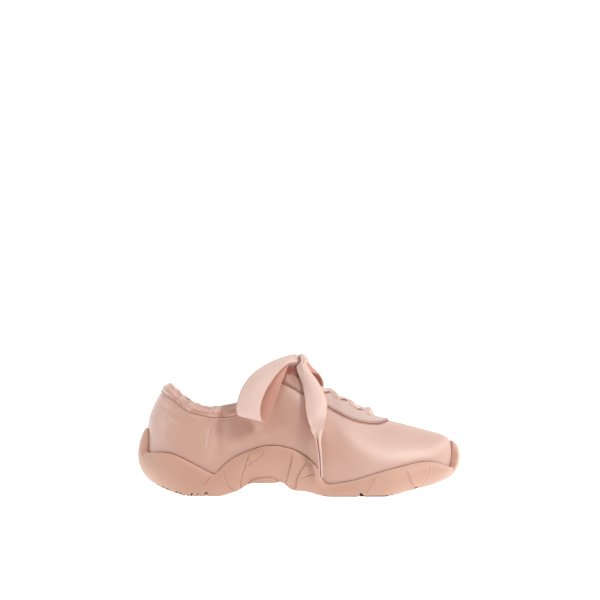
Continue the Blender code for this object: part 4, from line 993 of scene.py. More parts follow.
# painted shade: the tongue is darker at its top, under the knot
TONGUE_SATIN = satin(
    "tongue_satin", rgb(202, 152, 133), rgb(192, 141, 122), 0.45,
    painted_shading=(-0.002, 0.008, rgb(168, 88, 64)),
)
LINING = cloth("lining_cloth", rgb(226, 190, 176), rgb(206, 166, 150))
FOOTBED = cloth("foot_bed_cloth", rgb(224, 190, 176), rgb(204, 168, 152), 2200.0)
RUBBER = rubber("tan_rubber", rgb(202, 159, 139), rgb(192, 147, 126))
TREAD_RUBBER = rubber("tread_rubber", rgb(188, 140, 116), rgb(172, 126, 102), 0.66)
# painted shade: near black rubber for the shade in the tread's breaks, and a painted contact shadow at the bottom edge
PAINTED_SHADE_RUBBER = plain("tread_gap_painted_shade", rgb(58, 34, 27), 0.9)
RIBBON_CLOTH = ribbon_cloth(
    "satin_ribbon", rgb(241, 213, 202), rgb(234, 203, 191), rgb(216, 172, 156)
)
# the ribbon's back side: duller, as a satin ribbon's back is, and darker as painted shade inside the loops
RIBBON_BACK_SHADED = ribbon_cloth(
    "ribbon_back_painted_shade", rgb(226, 174, 156), rgb(217, 161, 142), rgb(200, 140, 120)
)
# the far ribbon's back side, darker still as painted shade
RIBBON_FAR_BACK_SHADED = ribbon_cloth(
    "ribbon_far_back_painted_shade", rgb(218, 152, 132), rgb(208, 138, 117), rgb(194, 122, 100)
)
THREAD = plain("pink_thread", rgb(206, 158, 142), 0.6)
# painted shade: dark domes and discs stand for the shade in needle holes and slot openings
HOLE_PAINTED_SHADE = plain("needle_hole_painted_shade", rgb(96, 34, 24), 0.95)
# partly the raw cut edge's colour, partly a painted shadow under the stay's edge
CUT_EDGE_AND_SHADOW = plain("cut_edge_painted_shadow", rgb(166, 100, 80), 0.95)
# painted shade: dark brown on the sole's top edge, for the shade along the seam with the upper
SEAM_PAINTED_SHADE = plain("seam_painted_shade", rgb(150, 82, 52), 0.95)
GROOVE = plain("groove_shade", rgb(172, 118, 97), 0.9)


# ------------------------------------------------------- folds of the cloth
# (height, width, lean, points x z) on the lateral side, in millimetres.
QUARTER_LATERAL = [
    (1.15, 2.7, 0.30, [(64.4, 68.0), (61.0, 57.3), (59.0, 47.0), (57.6, 37.6), (56.0, 28.0)]),
    (-1.30, 4.6, 0.0, [(69.0, 67.0), (68.4, 56.0), (67.6, 46.0), (66.6, 35.0)]),
    (-0.85, 2.6, 0.0, [(55.2, 56.0), (54.2, 48.0), (54.0, 38.0)]),
    (0.55, 2.8, 0.0, [(17.5, 79.0), (22.0, 78.0), (27.0, 75.4)]),
    (-0.70, 2.6, 0.0, [(19.0, 72.0), (26.0, 71.0), (32.0, 71.4), (38.0, 71.0)]),
    (1.25, 3.0, 0.2, [(22.0, 62.0), (25.4, 66.0), (30.0, 62.6), (35.0, 61.0)]),
    (-0.60, 4.2, 0.0, [(24.0, 50.0), (31.0, 54.0), (37.0, 58.0)]),
    (0.60, 4.2, 0.0, [(40.0, 62.0), (46.0, 61.0), (51.0, 60.0)]),
    (-0.30, 4.0, 0.0, [(44.0, 54.0), (48.0, 48.0), (50.0, 40.0)]),
    (-1.25, 3.8, 0.0, [(88.0, 65.0), (92.0, 60.0), (98.0, 52.0)]),
    (0.60, 5.4, 0.0, [(97.0, 68.0), (102.0, 59.0), (106.0, 47.0)]),
    (0.60, 6.0, 0.0, [(80.0, 60.0), (79.0, 48.0), (77.0, 38.0)]),
    (0.50, 5.0, 0.0, [(115.0, 84.0), (117.0, 68.0), (118.5, 50.0)]),
    (-0.60, 5.0, 0.0, [(125.0, 80.0), (126.5, 66.0), (127.5, 48.0)]),
    (0.35, 6.0, 0.0, [(137.0, 76.0), (139.0, 58.0), (141.0, 40.0)]),
    (-0.30, 7.0, 0.0, [(150.0, 66.0), (160.0, 50.0), (172.0, 36.0)]),
]
QUARTER_MEDIAL = [
    (0.90, 2.6, 0.2, [(65.0, 60.0), (63.0, 50.0), (62.0, 40.0), (61.0, 30.0)]),
    (-1.00, 2.8, 0.0, [(70.0, 62.0), (69.0, 52.0), (67.5, 42.0)]),
    (0.80, 2.6, 0.0, [(22.0, 62.0), (29.0, 64.5), (36.0, 67.5)]),
    (-0.75, 2.5, 0.0, [(20.0, 70.0), (28.0, 69.6), (35.0, 69.8)]),
    (-0.60, 3.0, 0.0, [(30.0, 54.0), (36.0, 59.0), (42.0, 64.0)]),
    (0.50, 2.4, 0.0, [(40.0, 50.0), (44.0, 57.0), (47.0, 63.0)]),
    (-0.80, 3.2, 0.0, [(86.0, 66.0), (90.0, 58.0), (95.0, 48.0)]),
    (0.55, 4.4, 0.0, [(95.0, 70.0), (99.0, 58.0), (103.0, 45.0)]),
    (0.45, 4.5, 0.0, [(114.0, 84.0), (116.0, 68.0), (118.0, 50.0)]),
    (-0.45, 4.5, 0.0, [(124.0, 82.0), (126.0, 66.0), (128.0, 48.0)]),
    (-0.30, 6.0, 0.0, [(150.0, 66.0), (158.0, 50.0), (170.0, 36.0)]),
]
CASING_LATERAL = [
    (0.80, 4.0, 0.0, [(27.0, 93.0), (25.2, 87.0), (23.4, 80.0)]),
    (-0.85, 2.2, 0.0, [(35.0, 87.0), (33.6, 82.0), (31.4, 75.0)]),
    (0.60, 1.4, 0.0, [(37.0, 86.0), (35.6, 81.0), (34.4, 77.0)]),
    (-1.35, 3.0, -0.2, [(41.4, 81.0), (39.6, 76.0), (38.0, 69.6)]),
    (1.40, 1.9, -0.35, [(47.6, 77.2), (44.0, 73.0), (40.0, 68.0)]),
    (-0.35, 3.0, 0.0, [(52.0, 76.0), (50.0, 71.0), (48.0, 66.4)]),
    (1.25, 2.4, 0.35, [(66.6, 76.0), (63.0, 69.6), (59.2, 63.4)]),
    (-0.95, 3.2, 0.0, [(71.4, 76.0), (69.2, 70.0), (67.4, 63.8)]),
    (0.30, 4.0, 0.0, [(79.0, 77.0), (77.6, 70.0), (76.4, 64.6)]),
    (-0.35, 3.0, 0.0, [(85.6, 79.0), (84.0, 73.0), (83.0, 66.0)]),
    (0.40, 3.0, 0.0, [(93.0, 84.0), (92.0, 77.0), (91.0, 70.0)]),
    (-0.40, 3.0, 0.0, [(100.0, 88.0), (99.0, 82.0), (98.0, 74.0)]),
]
CASING_MEDIAL = [
    (0.80, 3.0, 0.0, [(27.0, 91.0), (25.5, 85.0), (24.0, 79.0)]),
    (-0.90, 1.5, 0.0, [(33.0, 86.0), (31.4, 80.0), (30.0, 75.0)]),
    (0.70, 2.0, 0.0, [(38.0, 82.0), (36.0, 77.0), (34.0, 71.0)]),
    (-0.80, 1.6, 0.0, [(42.8, 79.0), (40.4, 74.0), (38.4, 69.0)]),
    (0.95, 1.8, 0.2, [(48.4, 76.4), (45.6, 71.8), (42.8, 67.6)]),
    (-0.60, 1.5, 0.0, [(52.4, 75.6), (50.4, 70.0), (48.6, 66.0)]),
    (0.60, 1.7, 0.0, [(58.0, 75.0), (56.4, 70.0), (55.0, 65.0)]),
    (-0.70, 1.8, 0.0, [(63.6, 75.0), (62.0, 69.5), (60.6, 63.8)]),
    (0.80, 1.9, 0.0, [(69.6, 75.0), (68.0, 70.0), (66.4, 64.0)]),
    (-0.60, 1.7, 0.0, [(75.0, 76.0), (73.6, 70.0), (72.4, 64.0)]),
    (0.55, 2.0, 0.0, [(81.6, 77.0), (80.2, 71.0), (79.0, 65.0)]),
    (-0.55, 1.8, 0.0, [(88.0, 79.0), (86.6, 73.0), (85.6, 67.0)]),
    (0.55, 2.2, 0.0, [(95.0, 83.0), (93.8, 77.0), (92.8, 70.6)]),
    (-0.50, 1.8, 0.0, [(101.6, 88.0), (100.4, 82.0), (99.4, 75.0)]),
]


def by_side(x, y, z, lateral, medial):
    """Creases of the two sides, faded into each other across the heel."""
    share = smooth(-4.0, 4.0, y)
    return creases(x, z, lateral) * (1 - share) + creases(x, z, medial) * share


def gathers(run, x, y):
    """Fine irregular puckers that the elastic draws, across the run of the rim."""
    near = 1 - 0.45 * smooth(60, 100, x)
    return near * (0.65 * wobble(run, 5, 9, 0.9, 2.3) + 0.35 * wobble(run, 8, 7, 2.2, 4.2))


def rim_run(a):
    """Length along the collar and throat edge, in millimetres, for ring angles."""
    fine = np.linspace(-math.pi, math.pi, 3001)
    p = form(fine, edge_t(fine))
    run = np.concatenate([[0], np.cumsum(np.linalg.norm(np.diff(p, axis=0), axis=1))])
    return np.interp(a, fine, run) * 1000


# ------------------------------------------------------------------ the upper
def upper_piece():
    a = dense_ring(300, lambda x: np.where(x < 115, 1.35, 1.0))
    run = rim_run(a)
    collar = np.abs(a) < angle_of_top(STAY_BACK)
    edge = throat_t(a, 1.9)
    top = np.where(collar, back_from(a, np.ones(len(a)), 0.0026), edge)
    low = t_where(a, sole_line) * 0.90
    share = np.concatenate([np.linspace(0, 1, 7)[:-1]])
    rows = np.concatenate(
        [low[:, None] * share, low[:, None] + (top - low)[:, None] * np.linspace(0, 1, 88)],
        axis=1,
    )
    skin = form(a[:, None], rows)
    n = normal(a[:, None] + 0 * rows, rows)
    x, y, z = in_tables(skin)
    off = by_side(x, y, z, QUARTER_LATERAL, QUARTER_MEDIAL)
    # puckers under the casing, and the pinch along its stitch line
    above = z - CASING_LINE(np.clip(x, 14, 117))
    fade = np.exp(-((np.clip(-above, 0, None) / 9.0) ** 2)) * (1 - smooth(104, 116, x))
    off += 0.14 * gathers(run, x[:, 0], y[:, 0])[:, None] * fade
    off -= (0.22 + 0.25 * (1 - smooth(36, 50, x))) * np.exp(-((above / 1.5) ** 2)) * (1 - smooth(110, 118, x))
    # softness of the padded cloth
    soft = 0.16 * wobble(x * 0.11 + z * 0.07, 3) + 0.14 * wobble(z * 0.13 - x * 0.05, 4)
    off += soft * (1 - 0.6 * smooth(150, 190, x))
    # drawn in along the sole, and quiet under it and under the stay
    sole = z - sole_line(x, y, np.broadcast_to(a[:, None], x.shape))
    off *= smooth(-0.5, 5.0, sole)
    off -= 0.25 * np.exp(-((sole / 1.6) ** 2))
    stay = z - STAY_LINE(np.clip(x, 114, 204.2))
    under = smooth(-1.0, 1.5, stay) * smooth(116, 119, x) * (1 - smooth(203, 206, x))
    off = off * (1 - under) - 0.15 * under
    outer = skin + n * off[..., None] / 1000
    t_in = np.linspace(0, 1, 34)[None, :] * top[:, None]
    keep = 1 - smooth(0.0, 0.15, 1 - t_in / top[:, None])
    inner = form(a[:, None], t_in, np.full(t_in.shape, -WALL))
    inner[:, 0, 2] = outer[:, 0, 2]
    k, r, q = len(a), outer.shape[1], inner.shape[1]
    verts = np.concatenate([outer.reshape(-1, 3), inner.reshape(-1, 3)])
    i = np.arange(k)
    j = (i + 1) % k
    bottom = np.stack([i * r, k * r + i * q, k * r + j * q, j * r], -1)
    end = angle_of_top(THROAT_END + 1.9) + 1e-9
    open_rim = (np.abs(a[i]) <= end) & (np.abs(a[j]) <= end)
    e, f = i * r + r - 1, j * r + r - 1
    g, h = k * r + i * q + q - 1, k * r + j * q + q - 1
    rim = np.stack([e, f, h, g], -1)[open_rim]
    out_faces = grid(k, r, 0, True)
    in_faces = grid(k, q, k * r, True, True)
    lining = np.zeros(len(out_faces) + len(in_faces) + len(bottom) + len(rim), bool)
    lining[len(out_faces) : len(out_faces) + len(in_faces)] = True
    item = add_mesh(
        "upper_satin", verts, [out_faces, in_faces, bottom, rim], SATIN,
        parts=(LINING, lining),
    )
    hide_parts("upper")
    return item


# ------------------------------------------- casing, lace stay: turned edges
def on_surface(outer, distance):
    """Line on the surface [columns, rows] distance mm above its first row."""
    run = np.zeros(outer.shape[:2])
    run[:, 1:] = np.cumsum(np.linalg.norm(np.diff(outer, axis=1), axis=2), axis=1)
    w = np.stack(
        [
            [np.interp(distance / 1000, run[i], outer[i, :, k]) for k in range(3)]
            for i in range(len(outer))
        ]
    )
    rise = unit(outer[:, min(6, outer.shape[1] - 1)] - outer[:, 0])
    n = unit(np.cross(unit(np.gradient(w, axis=0)), rise))
    side = np.sign(w[:, 1] - MID_Y(w[:, 0]))
    lean = n[:, 1] * side + 0.3 * n[:, 2]
    return w, n * np.sign(lean)[:, None]


def casing_piece():
    last = angle_of_top(STAY_BACK + 1.5)
    side = np.linspace(0, last, 700)
    rim = form(side, np.ones(len(side)))
    length = np.concatenate([[0], np.cumsum(np.linalg.norm(np.diff(rim, axis=0), axis=1))])
    side = np.interp(np.linspace(0, length[-1], 330), length, side)
    a = np.concatenate([-side[::-1][:-1], side])
    run = rim_run(a)
    one = np.ones(len(a))
    radius = 0.0021
    centre_t = back_from(a, one, radius)
    low = t_where(a, lambda x, y, a: CASING_LINE(np.clip(x, 14, 117)))
    low = np.minimum(low, centre_t - 0.004)
    q = np.concatenate([[0, 0.02], np.linspace(0.04, 1, 28)])
    t = low[:, None] + (centre_t - low)[:, None] * q
    skin = form(a[:, None], t)
    n = normal(a[:, None] + 0 * t, t)
    x, y, z = in_tables(skin)
    puff = 0.34 * np.clip(q / 0.04, 0, 1) - 0.34
    puff = puff + 1.35 * np.sin(np.pi * np.clip(q, 0, 1)) ** 1.5
    puff = puff - 0.10 * np.exp(-(((q - 0.13) / 0.05) ** 2))
    swell = smooth(0.04, 0.32, q) * (1 - 0.25 * smooth(0.8, 1.0, q))
    folds = by_side(x, y, z, CASING_LATERAL, CASING_MEDIAL)
    fine = gathers(run, x[:, 0], y[:, 0])[:, None]
    off = puff[None, :] + swell[None, :] * (1.5 * folds + 0.09 * fine)
    # the ends sink under the lace stay
    sink = smooth(114.5, 118.5, x[:, -1:])
    off = off * (1 - 0.75 * sink)
    outer = skin + n * off[..., None] / 1000
    # the cap over the rim
    nc = normal(a, centre_t)
    centre = form(a, centre_t)
    rim = form(a, one)
    along = unit(np.gradient(rim, axis=0))
    up = unit(np.cross(nc, along))
    up = up * np.sign((up * (rim - centre)).sum(-1, keepdims=True))
    lift = 0.40 * wobble(run, 12, 8, 0.4, 0.9) + 0.08 * wobble(run, 13, 6, 2.0, 3.6)
    lift = lift * (1 - 0.6 * smooth(62, 100, in_tables(rim)[0]))
    phi = np.linspace(0, np.pi, 13)[1:-1]
    half_out = (off[:, -1] / 1000)[:, None]
    half_in = np.full(len(a), WALL + 0.0011)[:, None]
    mid = (half_out - half_in) / 2
    half = (half_out + half_in) / 2
    tall = (radius + lift / 1000)[:, None]
    cap = centre[:, None, :] + nc[:, None, :] * (mid + half * np.cos(phi))[..., None]
    cap = cap + up[:, None, :] * (tall * np.sin(phi))[..., None]
    # the flap inside, gathered too
    down = np.linspace(0, 1, 12)
    t_end = back_from(a, centre_t, 0.0095)
    t_in = centre_t[:, None] + (t_end - centre_t)[:, None] * down
    deep = -(WALL + 0.0011) - 0.0003 * fine * np.sin(np.pi * down) * 1.6
    deep = deep + 0.0009 * smooth(0.8, 1.0, down)[None, :]
    flap = form(a[:, None], t_in, np.broadcast_to(deep, t_in.shape))
    back = np.stack(
        [
            form(a, t_end, np.full(len(a), -WALL + 0.0002)),
            form(a, centre_t, np.full(len(a), -WALL + 0.0002)),
            form(a, centre_t, np.full(len(a), 0.0001)),
            form(a, low, np.full(len(a), -0.0008)),
        ],
        axis=1,
    )
    section = np.concatenate([outer, cap, flap, back], axis=1)
    k, r = section.shape[:2]
    f = grid(k, r)
    i = np.arange(k - 1)
    close = np.stack([i * r + r - 1, (i + 1) * r + r - 1, (i + 1) * r, i * r], -1)
    caps = [list(range(r)), [(k - 1) * r + s for s in reversed(range(r))]]
    verts = section.reshape(-1, 3)
    item = add_mesh(
        "gathered_casing", verts, [f, close, [caps[0]], [caps[1]]], CASING_SATIN
    )
    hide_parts("collar_casing")
    keep = in_tables(outer[:, 0])[0] < 115.5
    line, out = on_surface(outer, 0.95)
    return item, (line[keep], out[keep])


def stay_columns():
    start, tip = angle_of_top(STAY_BACK - 0.4), angle_of_top(204.2)
    fine = np.linspace(start, tip, 3000)
    p = form(fine, throat_t(fine))
    more = 1 + 2.0 * np.exp(-(((RIBS_AT["top"](fine) - 189.0) / 5.0) ** 2))
    step = np.linalg.norm(np.diff(p, axis=0), axis=1) + 6e-5
    run = np.concatenate([[0], np.cumsum(step * more[1:])])
    side = np.interp(np.linspace(0, run[-1], 260), run, fine)
    side[np.abs(side - angle_of_top(THROAT_END)).argmin()] = angle_of_top(THROAT_END)
    return side


def stay_offset(from_edge):
    """Thickness of the stay in millimetres, rounded at its stitched edge."""
    d = np.clip(from_edge / 0.9, 0, 1)
    return 0.12 + 1.18 * np.sqrt(np.clip(1 - (1 - d) ** 2, 0, 1))


def stay_piece():
    side = stay_columns()
    blocks, faces, edge_faces, n = [], [], [], 0
    close_at = angle_of_top(THROAT_END)
    radius = 0.0016
    parts = []
    for sign in (-1, 1):
        a = side * sign
        rim_t = throat_t(a)
        open_ = side <= close_at + 1e-9
        low = t_where(a, lambda x, y, a: STAY_LINE(np.clip(x, 114, 204.2)))
        low = np.minimum(low, rim_t)
        pull = np.where(open_, back_from(a, rim_t, radius), 1.0)
        pull = np.maximum(pull, low)
        q = np.concatenate([[0, 0.004, 0.012, 0.025, 0.045], np.linspace(0.07, 1, 36)])
        t = low[:, None] + (pull - low)[:, None] * q
        skin = form(a[:, None], t)
        nn = normal(a[:, None] + 0 * t, t)
        x, y, z = in_tables(skin)
        run = np.zeros(t.shape)
        run[:, 1:] = np.cumsum(np.linalg.norm(np.diff(skin, axis=1), axis=2), axis=1)
        off = stay_offset(run * 1000)
        # a stitched furrow near the edge, and a soft pad between the eyelets
        off -= 0.20 * np.exp(-(((run * 1000 - 2.1) / 0.55) ** 2)) * smooth(3.0, 6.0, run[:, -1:] * 1000)
        off += 0.14 * wobble(x * 0.33, 21 + sign) * smooth(2.5, 5.0, run * 1000)
        outer = skin + nn * off[..., None] / 1000
        # round cap over the throat's edge
        rim = form(a, rim_t)
        if sign < 0:
            whole = np.concatenate([rim[open_], form(-side[open_][::-1][1:] * sign, throat_t(side[open_][::-1][1:]))])
        else:
            whole = np.concatenate([rim[open_], form(-side[open_][::-1][1:], throat_t(-side[open_][::-1][1:]))])
        along = unit(np.gradient(whole, axis=0))[: open_.sum()]
        nc = normal(a, rim_t)
        up = np.zeros_like(rim)
        up[open_] = unit(np.cross(nc[open_], along))
        centre = form(a, pull)
        inward = np.array([MID_Y(r) for r in rim[:, 0]])
        toward = np.stack([np.zeros(len(a)), inward - rim[:, 1], np.zeros(len(a))], -1)
        toward[:, 0] = np.where(RIBS_AT["top"](side) > 180, -0.02, 0.0)
        up *= np.sign((up * toward).sum(-1, keepdims=True) + 1e-12)
        half_out = (off[:, -1] / 1000)[:, None]
        half_in = np.full((len(a), 1), WALL + 0.0004)
        mid, half = (half_out - half_in) / 2, (half_out + half_in) / 2
        phi = np.linspace(0, np.pi, 9)[1:-1]
        reach = np.linalg.norm(rim - centre, axis=1)[:, None]
        reach = np.clip(reach, 0.0008, radius)
        cap = centre[:, None, :] + nc[:, None, :] * (mid + half * np.cos(phi))[..., None]
        cap = cap + up[:, None, :] * (reach * np.sin(phi))[..., None]
        t_end = back_from(a, pull, 0.006)
        t_in = pull[:, None] + (t_end - pull)[:, None] * np.linspace(0, 1, 6)
        inner_off = np.array([WALL + 0.0004] * 5 + [WALL - 0.0002])
        flap = form(a[:, None], t_in, -np.broadcast_to(inner_off, t_in.shape))
        ridge_in = form(a, pull, np.full(len(a), -(WALL - 0.0002)))
        closed = ~open_
        cap[closed] = outer[closed, -1:, :]
        flap[closed] = outer[closed, -1:, :]
        back = np.stack(
            [
                form(a, pull, np.full(len(a), -WALL + 0.0002)),
                form(a, pull, np.full(len(a), -0.0002)),
                form(a, low, np.full(len(a), -0.0006)),
            ],
            axis=1,
        )
        back[closed, 0] = outer[closed, -1]
        back[closed, 1] = form(a, pull, np.full(len(a), -0.0002))[closed]
        section = np.concatenate([outer, cap, flap, back], axis=1)
        k, r = section.shape[:2]
        f = grid(k, r, n)
        i = np.arange(k - 1)
        close = np.stack([i * r + r - 1, (i + 1) * r + r - 1, (i + 1) * r, i * r], -1) + n
        # drop the inner wall that would stand on the ridge
        col = (f[:, 0] - n) // r
        row = (f[:, 0] - n) % r
        top_rows = (row >= outer.shape[1] - 1) & (row < r - 2)
        keep = ~(top_rows & closed[col] & closed[np.minimum(col + 1, k - 1)])
        # the cut edge shows as a dark line along the foot of the stay: partly the raw edge's own colour, partly a
        # painted shadow under it
        is_edge = (row <= 1)[keep]
        faces += [f[keep], close, [[n + s for s in range(r)]]]
        edge_faces += [is_edge, np.ones(len(close), bool), np.zeros(1, bool)]
        blocks.append(section.reshape(-1, 3))
        n += k * r
        long = run[:, -1] * 1000 > 5.5
        line, out = on_surface(outer, 1.95)
        parts.append((a, low, line[long], out[long]))
    item = add_mesh(
        "lace_stay_satin", np.concatenate(blocks), faces, STAY_SATIN,
        weld=8e-6, parts=(CUT_EDGE_AND_SHADOW, np.concatenate(edge_faces)),
    )
    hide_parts("lace_stay")
    return item, parts


def MID_Y(x):
    """Where the ridge of the foot lies across, in metres, at x metres."""
    top = np.array([0.0, 97.5, 115.0, 134.5, 151.0, 177.5, 203.0, 236.0])
    crest = np.array([0.0, 0.2, 0.6, 1.2, 1.8, 3.1, 4.8, 10.0])
    at = np.interp(x / X_SCALE + MIDDLE[0], top, crest)
    return (at - MIDDLE[1]) * Y_SCALE


# ----------------------------------------------------------------- the sole
# (depth, width, step, x z points) of the grooves in the side wall.  step is how
# far the wall on the right of a downward line lies below the left side.
GROOVES = [
    (0.45, 0.50, 0.0, [(61.2, 17.4), (57.6, 13.4), (54.0, 9.0)]),
    (0.42, 0.50, 0.25, [(71.6, 23.0), (70.9, 15.4), (73.0, 9.6), (78.6, 4.6)]),
    (0.75, 0.60, 0.85, [(90.7, 35.2), (89.0, 29.1), (87.1, 24.2), (85.2, 18.3), (84.2, 12.0), (83.6, 5.0)]),
    (0.55, 0.50, 0.30, [(102.8, 38.8), (101.7, 34.7), (98.8, 31.4), (94.1, 28.4), (88.6, 25.2)]),
    (0.75, 0.60, -0.75, [(125.8, 35.8), (125.4, 29.1), (123.3, 21.6), (121.4, 14.9), (120.6, 9.4)]),
    (0.80, 0.62, -0.80, [(138.4, 28.6), (133.7, 22.5), (130.4, 16.8), (129.0, 11.2), (128.7, 5.4)]),
    (0.45, 0.48, 0.0, [(131.4, 14.5), (137.4, 16.8), (144.4, 18.9)]),
    (0.46, 0.60, -0.45, [(193.2, 15.8), (188.6, 8.9), (185.8, 3.0)]),
    (0.44, 0.58, -0.45, [(217.9, 21.2), (219.9, 15.6), (222.6, 10.3), (225.0, 6.4)]),
    (0.44, 0.58, 0.45, [(236.4, 23.8), (236.0, 17.7), (233.4, 13.0), (229.6, 8.4)]),
]
LIP_TOP = [(89.8, 9.6), (92.6, 12.4), (97.0, 14.4), (104.0, 15.3), (109.4, 15.1), (112.2, 13.8), (114.2, 11.0)]


def lug_notch(x, y, wall):
    """Depth of the breaks in the tread at x, in millimetres.  wall is not used."""
    out = np.zeros(np.shape(x))
    for at, width, depth, top in (
        (34.9, 2.6, 2.0, 0.6), (39.5, 1.5, 1.9, 0.7), (44.4, 2.1, 2.5, 0.6),
        (49.3, 2.4, 2.5, 0.6), (56.3, 4.4, 3.3, 0.55), (181.2, 6.6, 3.2, 0.06),
        (205.5, 1.6, 1.2, 0.6), (209.0, 1.4, 0.9, 0.6), (226.8, 5.0, 2.0, 0.45),
    ):
        half, flat = width / 2, width * top / 2
        share = np.clip((half - np.abs(x - at)) / max(half - flat, 1e-6), 0, 1)
        out = np.maximum(out, depth * share)
    # fine teeth along the heel's rocker
    teeth = 0.5 + 0.5 * np.sin(2 * np.pi * (x - 9.0) / 3.7)
    out = np.maximum(out, 1.9 * smooth(0.5, 0.75, teeth) * smooth(9, 12, x) * (1 - smooth(32.5, 34, x)))
    return out


def bottom_pattern(x, y, inside):
    """Depth of the tread's channels away from the outline: wavy bars under
    heel and forefoot, a long channel, and a smooth arch."""
    heel = smooth(12, 16, x) * (1 - smooth(68, 72, x))
    ball = smooth(146, 152, x) * (1 - smooth(240, 246, x))
    wave = 1.6 * np.sin(y * 0.30)
    bars = np.abs(((x + wave) / 5.4) % 1.0 - 0.5) * 5.4
    channels = 1.5 * (1 - smooth(0.45, 0.85, bars))
    middle = -0.4 + 0.055 * np.clip(x - 120, 0, None)
    spine = 1.8 * (1 - smooth(1.1, 1.6, np.abs(y - middle)))
    return np.maximum(channels, spine) * (heel + ball) * smooth(1.5, 3.0, inside)


